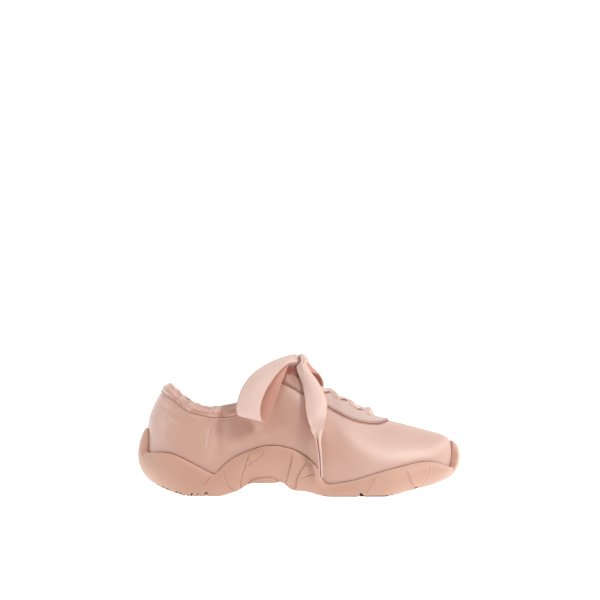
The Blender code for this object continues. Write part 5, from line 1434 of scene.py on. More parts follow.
def sole_piece():
    def weight(x):
        arch = np.where((x > 66) & (x < 146), 2.6, 1.0)
        front = np.where((x > 182) & (x < 240), 2.1, 1.0)
        back = np.where(x < 60, 2.0, 1.0)
        return arch * front * back

    marks = [float(angle_at(x, *FEATHER_ENDS)) for x in (63.1,)]
    marks += [0.9999 * bumper_angle(HEEL_BUMPER, False)]
    marks += [math.pi - 0.9999 * bumper_angle(TOE_BUMPER, True)]
    a = dense_ring(540, weight, marks)
    v = np.concatenate(
        [[0, 0.006, 0.014, 0.024, 0.036, 0.05], np.linspace(0.07, 0.86, 43), np.linspace(0.875, 1, 9)]
    )
    wall = sole_wall(a, v)
    top = t_where(a, sole_line)
    across = unit(np.roll(wall, -1, axis=0) - np.roll(wall, 1, axis=0))
    rise = unit(np.gradient(wall, axis=1))
    n = unit(np.cross(across, rise))
    out = outline(a, FEATHER_AT, FEATHER_ENDS)[1]
    n *= np.sign((n[..., 0] * out[:, None, 0] + n[..., 1] * out[:, None, 1]).sum(1))[:, None, None]
    x, y, z = in_tables(wall)
    base = tread_z(np.abs(a))[:, None]
    edge = wall[:, -1:, 2] * 1000 - z
    cut = np.zeros(x.shape)
    groove = np.zeros(x.shape, bool)
    for depth, width, step, points in GROOVES:
        d, s = to_line(x, z, points)
        fade = smooth(-0.03, 0.14, s) * smooth(-0.02, 0.10, 1 - s)
        line = 1.75 * depth * np.exp(-np.abs(d / (0.72 * width)) ** 2.0) * fade
        groove |= (line > 1.25 * depth) & (fade > 0.45) & (depth > 0.5)
        # the wall swells a little beside a groove, and one side lies lower
        line = line - 0.22 * depth * np.exp(-(((np.abs(d) - 2.6 * width) / (1.5 * width)) ** 2)) * fade
        near = np.clip(np.abs(d), 0, None)
        lower = step * np.tanh(d / 0.7) * np.exp(-((near / 7.5) ** 2))
        cut = cut + line + 0.85 * lower * smooth(-0.05, 0.22, s) * smooth(-0.04, 0.16, 1 - s)
    # the raised lip in the arch
    d, s = to_line(x, z, LIP_TOP)
    inside_lip = (x > 89.6) & (x < 114.4)
    lip_z = np.interp(x, [p[0] for p in LIP_TOP], [p[1] for p in LIP_TOP])
    raised = smooth(-0.3, 0.5, lip_z - z) * smooth(89.6, 91.0, x) * (1 - smooth(113.2, 114.4, x))
    cut = cut - 1.3 * raised + 0.75 * np.exp(-((np.abs(d) / 0.7) ** 2)) * (1 - raised)
    inner_line = np.exp(-(((lip_z - z - 1.9) / 0.45) ** 2)) * raised
    cut = cut + 0.55 * inner_line
    groove |= (np.abs(d + 0.25) < 0.42) & (raised < 0.5) & (s > 0.02) & (s < 0.98) & (x > 89) & (x < 115)
    # keep the seam with the upper clean
    t_edge = np.broadcast_to(v[None, :], x.shape)
    cut = cut * (1 - smooth(0.93, 0.985, t_edge))
    wall = wall - n * cut[..., None] / 1000
    # the sides of the bumpers come down to a thin edge too
    base_z = np.where(x < 63.1, HEEL_LINE(x), ARCH_LINE(x))
    over = smooth(-2.0, 2.5, z - base_z)
    for shape, toe in ((HEEL_BUMPER, False), (TOE_BUMPER, True)):
        limit = bumper_angle(shape, toe)
        q0, _ = outline(np.array([limit if not toe else math.pi - limit]), FEATHER_AT, FEATHER_ENDS)
        q1, _ = outline(a, FEATHER_AT, FEATHER_ENDS)
        away = np.hypot(q1[:, 0] - q0[0, 0], np.abs(q1[:, 1] - 0) - abs(q0[0, 1]))
        k = np.clip(1 - away / 3.6, 0, 1)[:, None] * over
        k = 1 - np.sqrt(np.clip(1 - k * k, 0, 1))
        near = form(a[:, None], heights_to_t(a, wall[..., 2], top), GAP + EDGE_SEEN)
        wall = wall * (1 - k[..., None]) + near * k[..., None]
    notch = lug_notch(in_tables(wall)[0], y, True)
    floor_z = (base + notch) * height_scale(x)
    wall[..., 2] = np.maximum(wall[..., 2], floor_z)
    under_z = wall[:, 0, 2]
    # inside of the cup
    q = np.linspace(1, 0, 9)
    t = top[:, None] * q
    inside = form(a[:, None], t, np.full(t.shape, GAP * 0.6))
    inside[:, -1, 2] = form(a, 0 * a)[:, 2] - GAP
    ring = np.concatenate([wall, inside], axis=1)
    k, r = ring.shape[:2]
    verts = [ring.reshape(-1, 3)]
    faces = [grid(k, r, 0, True)]
    # bottom: strips from the lateral to the medial side
    half = k // 2
    # a[0] is the toe (-pi); a[half] is the heel (0)
    lat, med = np.arange(1, half), k - np.arange(1, half)
    steps = 30
    w = (1 - np.cos(np.linspace(0, np.pi, steps + 1))) / 2
    w = 0.35 * w + 0.65 * np.linspace(0, 1, steps + 1)
    left, right = wall[lat, 0], wall[med, 0]
    floor_x, floor_y, _ = in_tables(left)
    grid_p = left[:, None, :] * (1 - w[None, :, None]) + right[:, None, :] * w[None, :, None]
    gx, gy, _ = in_tables(grid_p)
    b = angle_at(np.clip(gx, *TREAD_ENDS), *TREAD_ENDS)
    span = np.minimum(gy - gy[:, :1], gy[:, -1:] - gy)
    notched = lug_notch(gx, gy, False)
    depth = np.maximum(notched * (1 - smooth(7.0, 9.0, span)), bottom_pattern(gx, gy, span))
    flat_z = tread_z(b)
    grid_p[..., 2] = (flat_z + depth) * height_scale(gx)
    grid_p[:, 0], grid_p[:, -1] = left, right
    n0 = k * r
    m = len(lat)
    inner_pts = grid_p[:, 1:-1]
    verts.append(inner_pts.reshape(-1, 3))
    idx = np.zeros((m, steps + 1), int)
    idx[:, 0] = lat * r
    idx[:, -1] = med * r
    idx[:, 1:-1] = n0 + np.arange(m * (steps - 1)).reshape(m, steps - 1)
    f = np.stack([idx[:-1, :-1], idx[:-1, 1:], idx[1:, 1:], idx[1:, :-1]], -1).reshape(-1, 4)
    faces.append(f)
    toe, heel = 0 * r, half * r
    faces.append([[toe, idx[0, s], idx[0, s + 1]] for s in range(steps)])
    faces.append([[heel, idx[-1, s + 1], idx[-1, s]] for s in range(steps)])
    bottom_count = len(f) + 2 * steps
    # floor inside, under the insole
    li, mi = lat * r + r - 1, med * r + r - 1
    floor = np.stack([li[:-1], li[1:], mi[1:], mi[:-1]], -1)
    faces.append(floor)
    faces.append([[toe + r - 1, li[0], mi[0]], [heel + r - 1, mi[-1], li[-1]]])
    total = sum(len(x) for x in faces)
    tread = np.zeros(total, int)
    # painted shade: dark in the grooves and along the seam with the upper, and a painted contact shadow at the bottom
    # edge
    rows_at = np.arange(r - 1)[None, :]
    dark = np.zeros((k, r - 1), int)
    walls = len(v) - 1
    level = np.abs(np.roll(z[:, -1], -1) - z[:, -1]) < 0.9
    level &= np.abs(x[:, -1] - 131.0) < 117.0
    dark[:, :walls][groove[:, :-1] & np.roll(groove, -1, axis=0)[:, 1:]] = 4
    dark[level, walls] = 3
    dark[level, walls - 1] = 3
    painted_contact_shadow = (x[:, :1] > 151) & (x[:, :1] < 203) & (rows_at < 4)
    dark[painted_contact_shadow] = 2
    tread[: len(faces[0])] = dark.reshape(-1)
    tread[len(faces[0]) : len(faces[0]) + bottom_count] = 1
    # painted shade: the breaks in the tread are coloured near black for the deep shade in them
    painted_shading = (notched > 0.3) & (span < 9.5)
    painted_shading = (painted_shading[:-1, :-1] & painted_shading[1:, 1:]) | (painted_shading[1:, :-1] & painted_shading[:-1, 1:])
    tread[len(faces[0]) : len(faces[0]) + len(f)] += painted_shading.reshape(-1)
    item = add_mesh(
        "moulded_sole", np.concatenate(verts), faces, RUBBER,
        weld=0, parts=(TREAD_RUBBER, tread, PAINTED_SHADE_RUBBER, SEAM_PAINTED_SHADE, GROOVE),
    )
    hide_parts("sole")
    return item


# ------------------------------------------------------- insole and tongue
def insole_piece():
    a = dense_ring(150)
    k = len(a)
    half = k // 2
    edge = form(a, 0 * a, np.full(k, -(WALL + 1.2 * GAP)))
    edge[:, 2] = form(a, 0 * a)[:, 2]
    lat, med = np.arange(1, half), k - np.arange(1, half)
    w = np.linspace(0, 1, 31)
    left, right = edge[lat], edge[med]
    sheet = left[:, None, :] * (1 - w[None, :, None]) + right[:, None, :] * w[None, :, None]
    span = np.minimum(w, 1 - w)[None, :] * np.linalg.norm(right - left, axis=1)[:, None] * 1000
    x, y, z = in_tables(sheet)
    rise = 2.9 * np.sqrt(np.clip(1 - (1 - np.clip(span / 1.6, 0, 1)) ** 2, 0, 1))
    cup = 1.2 * (1 - smooth(0, 14, span)) * (1 - smooth(60, 90, x))
    arch = 1.6 * smooth(0, 20, y) * np.exp(-(((x - 108) / 26) ** 2))
    top = sheet.copy()
    top[..., 2] += (rise + cup * smooth(0.2, 1.6, span) + arch * smooth(0.2, 1.6, span)) / 1000
    low = sheet.copy()
    low[..., 2] += 0.0002
    m, r = top.shape[:2]
    verts = np.concatenate([top.reshape(-1, 3), low.reshape(-1, 3)])
    n = m * r
    i, s = np.arange(m - 1), np.arange(r - 1)
    sides = [
        np.stack([i * r, (i + 1) * r, n + (i + 1) * r, n + i * r], -1),
        np.stack([i * r + r - 1, n + i * r + r - 1, n + (i + 1) * r + r - 1, (i + 1) * r + r - 1], -1),
        np.stack([s, n + s, n + s + 1, s + 1], -1),
        np.stack([(m - 1) * r + s, (m - 1) * r + s + 1, n + (m - 1) * r + s + 1, n + (m - 1) * r + s], -1),
    ]
    item = add_mesh(
        "foot_bed", verts, [grid(m, r), grid(m, r, n, False, True)] + sides, FOOTBED,
        weld=0,
    )
    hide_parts("insole")
    return item


def tongue_piece():
    start, end = angle_of_top(125.0), angle_of_top(197.0)
    fine = np.linspace(start, end, 60)
    rows = [angle_of_top(TONGUE_OUT)] + list(fine)
    a = np.array(rows)
    high = throat_t(a)
    cross = 41

    def face(depth):
        t = high[:, None] * np.array([0.88, 0.94, 1.0])
        one = form(-a[:, None], t, np.full(t.shape, -depth))
        two = form(a[:, None], t, np.full(t.shape, -depth))[:, ::-1]
        d1 = unit(one[:, -1] - one[:, -2] + (0, 0, -0.0008))
        d2 = unit(two[:, 0] - two[:, 1] + (0, 0, -0.0008))
        reach = np.linalg.norm(one[:, -1] - two[:, 0], axis=1, keepdims=True) * 0.22
        c = [one[:, -1], one[:, -1] + reach * d1, two[:, 0] + reach * d2, two[:, 0]]
        bridge = bezier([q[:, None, :] for q in c], np.linspace(0, 1, 14)[None, 1:-1])
        line = np.concatenate([one, bridge, two], axis=1)
        out = []
        for row in line:
            run = np.concatenate([[0], np.cumsum(np.linalg.norm(np.diff(row, axis=0), axis=1))])
            at = np.linspace(0, run[-1], cross)
            out.append(np.stack([np.interp(at, run, row[:, c]) for c in range(3)], 1))
        return np.array(out)

    def middle(row, share):
        mid = (row[0, 1] + row[-1, 1]) / 2
        y = mid + np.linspace(-share, share, cross) * (row[-1, 1] - row[0, 1]) / 2
        return np.stack([np.interp(y, row[:, 1], row[:, n]) for n in range(3)], 1)

    grids = []
    for depth in (WALL + 0.0004, WALL + 0.0004 + TONGUE):
        g = face(depth)
        g[0] = middle(g[0], 0.66)
        for n, share in ((1, 0.76), (2, 0.84), (3, 0.90), (4, 0.95)):
            g[n] = middle(g[n], share)
        ahead = unit(g[0].mean(0) - g[2].mean(0))
        proud = []
        for run, share in ((1.26, 0.30), (1.24, 0.46), (1.18, 0.62), (1.06, 0.78), (0.86, 0.90), (0.60, 0.97), (0.30, 1.0)):
            proud.append(middle(g[0], share) + ahead * run * TONGUE_PROUD)
        grids.append(np.concatenate([np.array(proud), g]))
    outer, inner = grids
    # it arches over the instep where the lacing is still open
    u = np.linspace(-1, 1, outer.shape[1])[None, :]
    top_x = np.concatenate([np.full(8, TONGUE_OUT), RIBS_AT["top"](fine)])
    arch = 8.0 * (1 - smooth(124, 148, top_x)) * np.linspace(0.35, 1, len(top_x)).clip(0, 1) ** 0.2
    arch = arch * np.concatenate([np.array([0.5, 0.6, 0.72, 0.84, 0.94, 1.0, 1.0]), np.ones(len(top_x) - 7)])
    lift = (arch[:, None] * np.cos(u * np.pi / 2) ** 1.3 / 1000)[..., None]
    outer, inner = outer + lift * (0.25, 0, 0.97), inner + lift * (0.25, 0, 0.97)
    # pad it: full in the middle, thin at its stitched border
    m, r = outer.shape[:2]
    u = np.linspace(0, 1, r)
    side = np.minimum(u, 1 - u)[None, :] * 40
    lead = np.concatenate([np.linspace(0, 6, 8), np.full(m - 8, 12.0)])[:, None]
    lip = np.minimum(side, lead)
    full = smooth(0.0, 3.4, lip)
    furrow = np.exp(-(((lip - 3.6) / 0.7) ** 2))
    thick = outer - inner
    mid = (outer + inner) / 2
    swell = (0.30 + 0.62 * full - 0.16 * furrow)[..., None]
    outer, inner = mid + thick * swell * 0.5 * 1.0, mid - thick * (0.30 + 0.62 * full)[..., None] * 0.5
    verts = np.concatenate([outer.reshape(-1, 3), inner.reshape(-1, 3)])
    n = m * r
    i, s = np.arange(m - 1), np.arange(r - 1)
    sides = [
        np.stack([i * r, (i + 1) * r, n + (i + 1) * r, n + i * r], -1),
        np.stack([i * r + r - 1, n + i * r + r - 1, n + (i + 1) * r + r - 1, (i + 1) * r + r - 1], -1),
        np.stack([s, n + s, n + s + 1, s + 1], -1),
        np.stack([(m - 1) * r + s, (m - 1) * r + s + 1, n + (m - 1) * r + s + 1, n + (m - 1) * r + s], -1),
    ]
    item = add_mesh(
        "padded_tongue", verts, [grid(m, r), grid(m, r, n, False, True)] + sides, TONGUE_SATIN,
        weld=0,
    )
    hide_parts("tongue")
    return item


# ------------------------------------------------------------------ ribbons
def strip_mesh(mid, wide, width, folds=2.5, flat=20.0, thick=0.34, cup=0.0, cross=25, phase=0.0):
    """A ribbon of flat millimetres that is drawn in to width by folds along it.
    mid and wide are [rows, 3], in metres and as directions."""
    along = unit(np.gradient(mid, axis=0))
    wide = unit(wide - (wide * along).sum(1, keepdims=True) * along)
    face = np.cross(along, wide)
    c = np.linspace(-1, 1, cross)
    w = np.minimum(width, flat)
    extra = np.sqrt(np.clip((flat / w) ** 2 - 1, 0, None))
    tall = np.minimum(0.42 * extra * w / (np.pi * folds), 1.5)[:, None]
    run = np.concatenate([[0], np.cumsum(np.linalg.norm(np.diff(mid, axis=0), axis=1))])
    lift = tall * np.cos(np.pi * folds * c[None, :] + phase + 3.0 * run[:, None] * 20)
    lift = lift * (0.75 + 0.25 * np.cos(2.2 * np.pi * c + 1.0))[None, :]
    lift = lift - cup * (c**2)[None, :]
    flat_at = mid[:, None, :] + wide[:, None, :] * (c[None, :] * w[:, None] / 2000)[..., None]
    surf = flat_at + face[:, None, :] * (lift / 1000)[..., None]
    du = unit(np.gradient(surf, axis=1))
    dv = unit(np.gradient(surf, axis=0))
    nn = unit(np.cross(dv, du))
    top, low = surf + nn * thick / 2000, surf - nn * thick / 2000
    m, r = top.shape[:2]
    verts = np.concatenate([top.reshape(-1, 3), low.reshape(-1, 3)])
    n = m * r
    i, s = np.arange(m - 1), np.arange(r - 1)
    faces = [
        grid(m, r), grid(m, r, n, False, True),
        np.stack([i * r, n + i * r, n + (i + 1) * r, (i + 1) * r], -1),
        np.stack([i * r + r - 1, (i + 1) * r + r - 1, n + (i + 1) * r + r - 1, n + i * r + r - 1], -1),
        np.stack([s, s + 1, n + s + 1, n + s], -1),
        np.stack([(m - 1) * r + s, n + (m - 1) * r + s, n + (m - 1) * r + s + 1, (m - 1) * r + s + 1], -1),
    ]
    uv = np.stack(np.broadcast_arrays(0.5 + 0.5 * c[None, :], run[:, None] / 0.020), -1)
    uv = np.concatenate([uv.reshape(-1, 2)] * 2)
    return verts, faces, uv


def from_table(t, steps=10):
    """Path, width direction and width of a loop or end from its table."""
    s = np.arange(len(t["x"]), dtype=float)
    q = np.linspace(0, s[-1], (len(s) - 1) * steps + 1)
    v = {n: spline(s, t[n])(q) for n in t}
    mid = real(np.stack([v["x"], v["y"], v["z"]], -1))
    turn, tip = np.radians(v["turn"]), np.radians(v["tip"])
    wide = np.stack([np.cos(turn) * np.cos(tip), np.sin(turn) * np.cos(tip), np.sin(tip)], -1)
    return mid, wide, v["width"]


EYE_AWAY = 3.2  # metres to the eye that the bow's nets are seen from
EYE_HIGH = 0.100


def net_surface(net, across=25, along=9):
    """Smooth surface through a net of the bow, in metres, and its path."""
    n = np.array(net, float)
    p = real(np.stack([n[..., 0], n[..., 2], n[..., 1]], -1))
    y = p[..., 1]
    near = (EYE_AWAY + y) / EYE_AWAY
    p[..., 0] *= near
    p[..., 2] = EYE_HIGH + (p[..., 2] - EYE_HIGH) * near
    r, c = p.shape[:2]
    rows, cols = np.arange(r, dtype=float), np.arange(c, dtype=float)
    q = np.linspace(0, r - 1, (r - 1) * along + 1)
    w = np.linspace(0, c - 1, across)
    down = np.stack(
        [[spline(rows, p[:, j, k])(q) for k in range(3)] for j in range(c)], 0
    )
    out = np.stack(
        [[spline(cols, down[:, k, i])(w) for k in range(3)] for i in range(len(q))], 0
    )
    out = np.swapaxes(out, 1, 2)
    return out, out[:, across // 2]


def sheet_mesh(surf, thick=0.34):
    """A thin closed sheet on a surface [rows, across, xyz], with ribbon UVs."""
    du = unit(np.gradient(surf, axis=1))
    dv = unit(np.gradient(surf, axis=0))
    nn = unit(np.cross(dv, du))
    top, low = surf + nn * thick / 2000, surf - nn * thick / 2000
    m, r = top.shape[:2]
    verts = np.concatenate([top.reshape(-1, 3), low.reshape(-1, 3)])
    n = m * r
    i, s = np.arange(m - 1), np.arange(r - 1)
    faces = [
        grid(m, r), grid(m, r, n, False, True),
        np.stack([i * r, n + i * r, n + (i + 1) * r, (i + 1) * r], -1),
        np.stack([i * r + r - 1, (i + 1) * r + r - 1, n + (i + 1) * r + r - 1, n + i * r + r - 1], -1),
        np.stack([s, s + 1, n + s + 1, n + s], -1),
        np.stack([(m - 1) * r + s, n + (m - 1) * r + s, n + (m - 1) * r + s + 1, (m - 1) * r + s + 1], -1),
    ]
    mid = surf[:, r // 2]
    run = np.concatenate([[0], np.cumsum(np.linalg.norm(np.diff(mid, axis=0), axis=1))])
    uv = np.stack(np.broadcast_arrays(np.linspace(0, 1, r)[None, :], run[:, None] / 0.020), -1)
    return verts, faces, np.concatenate([uv.reshape(-1, 2)] * 2)


def pinch(surf, rows, depth, folds, phase):
    """Small gathers that fade away from the knot, over rows at the start."""
    m, r = surf.shape[:2]
    c = np.linspace(-1, 1, r)
    du = unit(np.gradient(surf, axis=1))
    dv = unit(np.gradient(surf, axis=0))
    nn = unit(np.cross(dv, du))
    fade = np.clip(1 - np.arange(m) / rows, 0, 1) ** 1.5
    wave = np.cos(np.pi * folds * c + phase) * (0.7 + 0.3 * np.cos(5 * c + 1))
    return surf + nn * (depth / 1000 * fade[:, None] * wave[None, :])[..., None]


def back_faces(pieces, flips):
    """Which faces of merged sheets lie on the ribbon's back side, which is coloured duller and, as painted shade,
    darker.
    """
    out = []
    for (verts, faces, uv), flip in zip(pieces, flips):
        top, low = len(faces[0]), len(faces[1])
        rest = sum(len(b) for b in faces[2:])
        one, two = (True, False) if flip else (False, True)
        if flip is None:
            one = two = False
        out += [np.full(top, one), np.full(low, two), np.zeros(rest, bool)]
    return np.concatenate(out)


def faces_viewer(surf, row):
    """Whether the top side of a sheet faces -Y at a row."""
    du, dv = np.gradient(surf, axis=1), np.gradient(surf, axis=0)
    n = np.cross(dv, du)[row, surf.shape[1] // 2]
    return bool(n[1] < 0)


def merge(pieces):
    verts, faces, uvs, n = [], [], [], 0
    for v, f, uv in pieces:
        verts.append(v)
        faces += [np.asarray(b) + n for b in f]
        uvs.append(uv)
        n += len(v)
    return np.concatenate(verts), faces, np.concatenate(uvs)


def bow_pieces():
    made = []
    loop, mid = net_surface(LOOP_NEAR, 25, 7)
    loop = pinch(loop, 22, 0.5, 3.2, 0.4)
    loop = pinch(loop[::-1], 20, 0.4, 2.6, 1.0)[::-1]
    tail, mid2 = net_surface(TAIL_NEAR, 33, 10)
    sheets = [sheet_mesh(loop), sheet_mesh(tail)]
    verts, faces, uv = merge(sheets)
    shaded_back = back_faces(sheets, [not faces_viewer(loop, 49), None])
    item = add_mesh(
        "bow_ribbon_near", verts, faces, RIBBON_CLOTH, uv, weld=0,
        parts=(RIBBON_BACK_SHADED, shaded_back),
    )
    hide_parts("bow_loop_near", "bow_end_near")
    made.append((item, np.concatenate([mid[::7], mid2[::10]])))
    loop, mid = net_surface(LOOP_FAR, 25, 7)
    loop = pinch(loop, 22, 0.5, 3.0, 0.0)
    loop = pinch(loop[::-1], 20, 0.4, 2.6, 1.4)[::-1]
    mid2, wide2, width2 = from_table(TAIL_FAR, 12)
    two = strip_mesh(mid2, wide2, width2, cup=-0.6, phase=1.0)
    sheets = [sheet_mesh(loop), two]
    verts, faces, uv = merge(sheets)
    shaded_back = back_faces(sheets, [not faces_viewer(loop, 49), True])
    item = add_mesh(
        "bow_ribbon_far", verts, faces, RIBBON_CLOTH, uv, weld=0,
        parts=(RIBBON_FAR_BACK_SHADED, shaded_back),
    )
    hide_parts("bow_loop_far", "bow_end_far")
    made.append((item, np.concatenate([mid[::7], mid2[::12]])))
    return made


def knot_piece():
    """The wrap of the bow: a ribbon wound once round the gathered middle."""
    c = real(np.array([KNOT["x"], KNOT["y"], KNOT["z"]]))
    th, yy = np.linspace(0, 2 * np.pi, 97)[:-1], np.linspace(-1, 1, 41)
    T, Y = np.meshgrid(th, yy, indexing="ij")
    r = (1 - np.abs(Y) ** 3.0) ** 0.42
    fold = 0.10 * np.cos(5.2 * np.pi * Y + 0.8 * np.sin(T)) * (1 - Y**4)
    fold += 0.05 * np.cos(9 * Y + 2 * T)
    slit = -0.20 * np.exp(-(((Y - 0.18 * np.sin(T + 0.6) - 0.05) / 0.10) ** 2))
    slit += -0.16 * np.exp(-(((Y + 0.5 + 0.12 * np.cos(T)) / 0.09) ** 2))
    r = r * (1 + fold + slit)
    x = c[0] + r * np.cos(T) * KNOT["long"] / 2150
    z = c[2] - 0.0003 + r * np.sin(T) * KNOT["high"] / 2100
    y = c[1] + 0.0012 + Y * KNOT["wide"] / 2300
    p = np.stack([x, y, z], -1)
    k, q = p.shape[:2]
    verts = p.reshape(-1, 3)
    uv = np.stack([(Y + 1) / 2 * 0.9 + 0.05, T], -1).reshape(-1, 2)
    item = add_mesh("bow_wrap", verts, [grid(k, q, 0, True)], RIBBON_CLOTH, uv)
    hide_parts("bow_knot")
    return item


def throat_spot(side, x, below, off):
    """A point on the stay below millimetres under the throat's edge, at top x,
    off millimetres out from the form, with the outward normal there."""
    a = np.array([side * angle_of_top(x)])
    t = back_from(a, throat_t(a), below / 1000) if below > 0 else throat_t(a)
    return form(a, t, np.array([off / 1000]))[0], normal(a, t)[0]


# Height of the strands over the throat where they cross, from the front back.
CROSS_LIFT = (1.7, 1.3, 2.9, 1.8)


def lacing_piece():
    """The ribbon criss-crosses: each strand rises from a slot in the stay, goes
    over the throat and down through the next slot of the other side."""
    pieces = []
    on = 1.3 + 0.5

    def strand(points, normals, widths, phase, folds=1.0):
        s = np.arange(len(points), dtype=float)
        q = np.linspace(0, s[-1], (len(s) - 1) * 9 + 1)
        mid = np.stack([spline(s, np.array(points)[:, n])(q) for n in range(3)], 1)
        nn = np.stack([spline(s, np.array(normals)[:, n])(q) for n in range(3)], 1)
        width = spline(s, np.array(widths, float))(q)
        along = unit(np.gradient(mid, axis=0))
        wide = np.cross(unit(nn), along)
        pieces.append(
            strip_mesh(mid, wide, width, folds, 13.5, 0.5, 0.6, 21, phase)
        )

    up = np.array([0.30, 0.0, 0.95])
    for n in range(len(EYELET_ROWS) - 1):
        for side in (-1, 1):
            x0, x1 = EYELET_ROWS[n], EYELET_ROWS[n + 1]
            # rises from the slot of this side, ends in the next one across
            in0, m0 = throat_spot(side, x0, EYELET_INSET, 0.2)
            at0, m1 = throat_spot(side, x0 - 0.6, EYELET_INSET - 0.9, on - 0.3)
            rim0, m2 = throat_spot(side, x0 - 2.2, 0.6, on + 0.5)
            in1, k0 = throat_spot(-side, x1, EYELET_INSET, 0.2)
            at1, k1 = throat_spot(-side, x1 + 0.6, EYELET_INSET - 0.9, on - 0.3)
            rim1, k2 = throat_spot(-side, x1 + 2.2, 0.6, on + 0.5)
            lift = CROSS_LIFT[n] + (0.5 if side < 0 else -0.4)
            xm = (x0 + x1) / 2 + 0.4
            left, _ = throat_spot(-1, xm, 0.0, 0.6)
            right, _ = throat_spot(1, xm, 0.0, 0.6)
            top = (left + right) / 2 + (0, 0, lift / 1000)
            strand(
                [in0, at0, rim0, top, rim1, at1, in1],
                [m1, m1, unit(m2 + 0.6 * up), up, unit(k2 + 0.6 * up), k1, k1],
                [3.6, 5.8, 9.2, 11.4, 9.2, 5.8, 3.6],
                0.12 * n + 0.10 * side,
            )
    # the bar at the front lies straight across
    x = EYELET_ROWS[0] - 1.6
    ends = []
    for side in (-1, 1):
        inn, m0 = throat_spot(side, x, EYELET_INSET, 0.2)
        at, m1 = throat_spot(side, x + 0.3, EYELET_INSET - 0.9, on - 0.2)
        rim, m2 = throat_spot(side, x + 0.6, 0.4, on + 1.5)
        ends.append(([inn, at, rim], [m1, m1, unit(m2 + up)]))
    (pa, na), (pb, nb) = ends
    top = (pa[2] + pb[2]) / 2 + (0.0, 0, 0.0020)
    strand(pa + [top] + pb[::-1], na + [up] + nb[::-1], [3.6, 6.4, 9.4, 10.4, 9.4, 6.4, 3.6], 0.1)
    # up from the last slots to the knot
    knot = real(np.array([KNOT["x"], KNOT["y"], KNOT["z"]]))
    for side in (-1, 1):
        x1 = EYELET_ROWS[-1]
        inn, m0 = throat_spot(side, x1, EYELET_INSET, 0.2)
        at, m1 = throat_spot(side, x1 - 0.2, EYELET_INSET - 1.0, on - 0.2)
        rim, m2 = throat_spot(side, x1 - 1.0, 0.2, on + 1.4)
        near = knot + np.array([0.0010, side * 0.0022, -0.0040])
        strand(
            [inn, at, rim, rim * 0.45 + near * 0.55, near],
            [m1, m1, unit(m2 + up), unit(m2 + 2 * up), up],
            [3.6, 6.0, 8.6, 8.0, 6.0],
            0.15 * side,
        )
    verts, faces, uv = merge(pieces)
    item = add_mesh("laced_ribbon", verts, faces, RIBBON_CLOTH, uv, weld=0)
    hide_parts("lace_crossings")
    return item


# ----------------------------------------------------------------- stitches
def thread_bar(p, d, n, long=1.5, thick=0.42, sides=6):
    """One stitch: a short bowed bar of thread along d, standing off along n."""
    d = d / np.linalg.norm(d)
    s = np.cross(d, n)
    s = s / np.linalg.norm(s)
    n = np.cross(s, d)
    verts = []
    for u in (-1.0, -0.6, 0.0, 0.6, 1.0):
        r = thick / 2000 * (1.0 if abs(u) < 0.9 else 0.35)
        mid = p + d * (u * long / 2000) + n * (0.16 * (1 - u * u) - 0.06) / 1000
        for q in range(sides):
            ang = 2 * math.pi * q / sides
            verts.append(mid + s * r * math.cos(ang) + n * r * math.sin(ang))
    faces = []
    for ring in range(4):
        for q in range(sides):
            a, b = ring * sides + q, ring * sides + (q + 1) % sides
            faces.append([a, b, b + sides, a + sides])
    faces.append([q for q in reversed(range(sides))] + [0] * 0)
    return np.array(verts), faces


def bars(points, normals, long, thick, slant=0.0):
    """Stitches with their middles at points, in one list of verts and quads."""
    out_v, out_f, n = [], [], 0
    along = unit(np.gradient(points, axis=0))
    for p, d, nn in zip(points, along, normals):
        if slant:
            s = np.cross(d, nn)
            d = d * math.cos(slant) + s * math.sin(slant)
        v, f = thread_bar(p, d, nn, long, thick)
        quads = [q for q in f if len(q) == 4]
        m = len(v)
        caps = [[5, 4, 3, 2], [5, 2, 1, 0]]
        caps += [[m - 6, m - 5, m - 4, m - 3], [m - 6, m - 3, m - 2, m - 1]]
        out_v.append(v)
        out_f += [[i + n for i in q] for q in quads + caps]
        n += m
    return np.concatenate(out_v), out_f


def spaced(line, pitch):
    """Points every pitch millimetres along a line, and their index as shares."""
    run = np.concatenate([[0], np.cumsum(np.linalg.norm(np.diff(line, axis=0), axis=1))])
    at = np.arange(pitch / 2000, run[-1], pitch / 1000)
    return at, run


def along_line(line, normals, pitch, inset=0.0):
    at, run = spaced(line, pitch)
    p = np.stack([np.interp(at, run, line[:, n]) for n in range(3)], 1)
    nn = unit(np.stack([np.interp(at, run, normals[:, n]) for n in range(3)], 1))
    return p, nn


def beads(points, normals, radius, flat=0.45):
    """Small sunken domes: needle holes and the like."""
    out_v, out_f, n = [], [], 0
    for p, nn in zip(points, normals):
        s = np.cross(nn, (0.3, 0.2, 0.9))
        s = s / np.linalg.norm(s)
        t = np.cross(nn, s)
        ring = []
        for r, h in ((1.0, -0.25), (0.7, 0.55), (0.0, 0.9)):
            if r == 0:
                ring.append(p + nn * radius / 1000 * h * flat)
                continue
            for q in range(6):
                ang = math.pi * q / 3
                ring.append(
                    p + (s * math.cos(ang) + t * math.sin(ang)) * r * radius / 1000
                    + nn * radius / 1000 * h * flat
                )
        out_v.append(np.array(ring))
        for q in range(6):
            a, b = q, (q + 1) % 6
            out_f.append([n + a, n + b, n + 6 + b, n + 6 + a])
        out_f += [[n + 6, n + 7, n + 8, n + 12], [n + 8, n + 9, n + 10, n + 12], [n + 10, n + 11, n + 6, n + 12]]
        out_f += [[n + 3, n + 2, n + 1, n + 0], [n + 5, n + 4, n + 3, n + 0]]
        n += len(ring)
    return np.concatenate(out_v), out_f


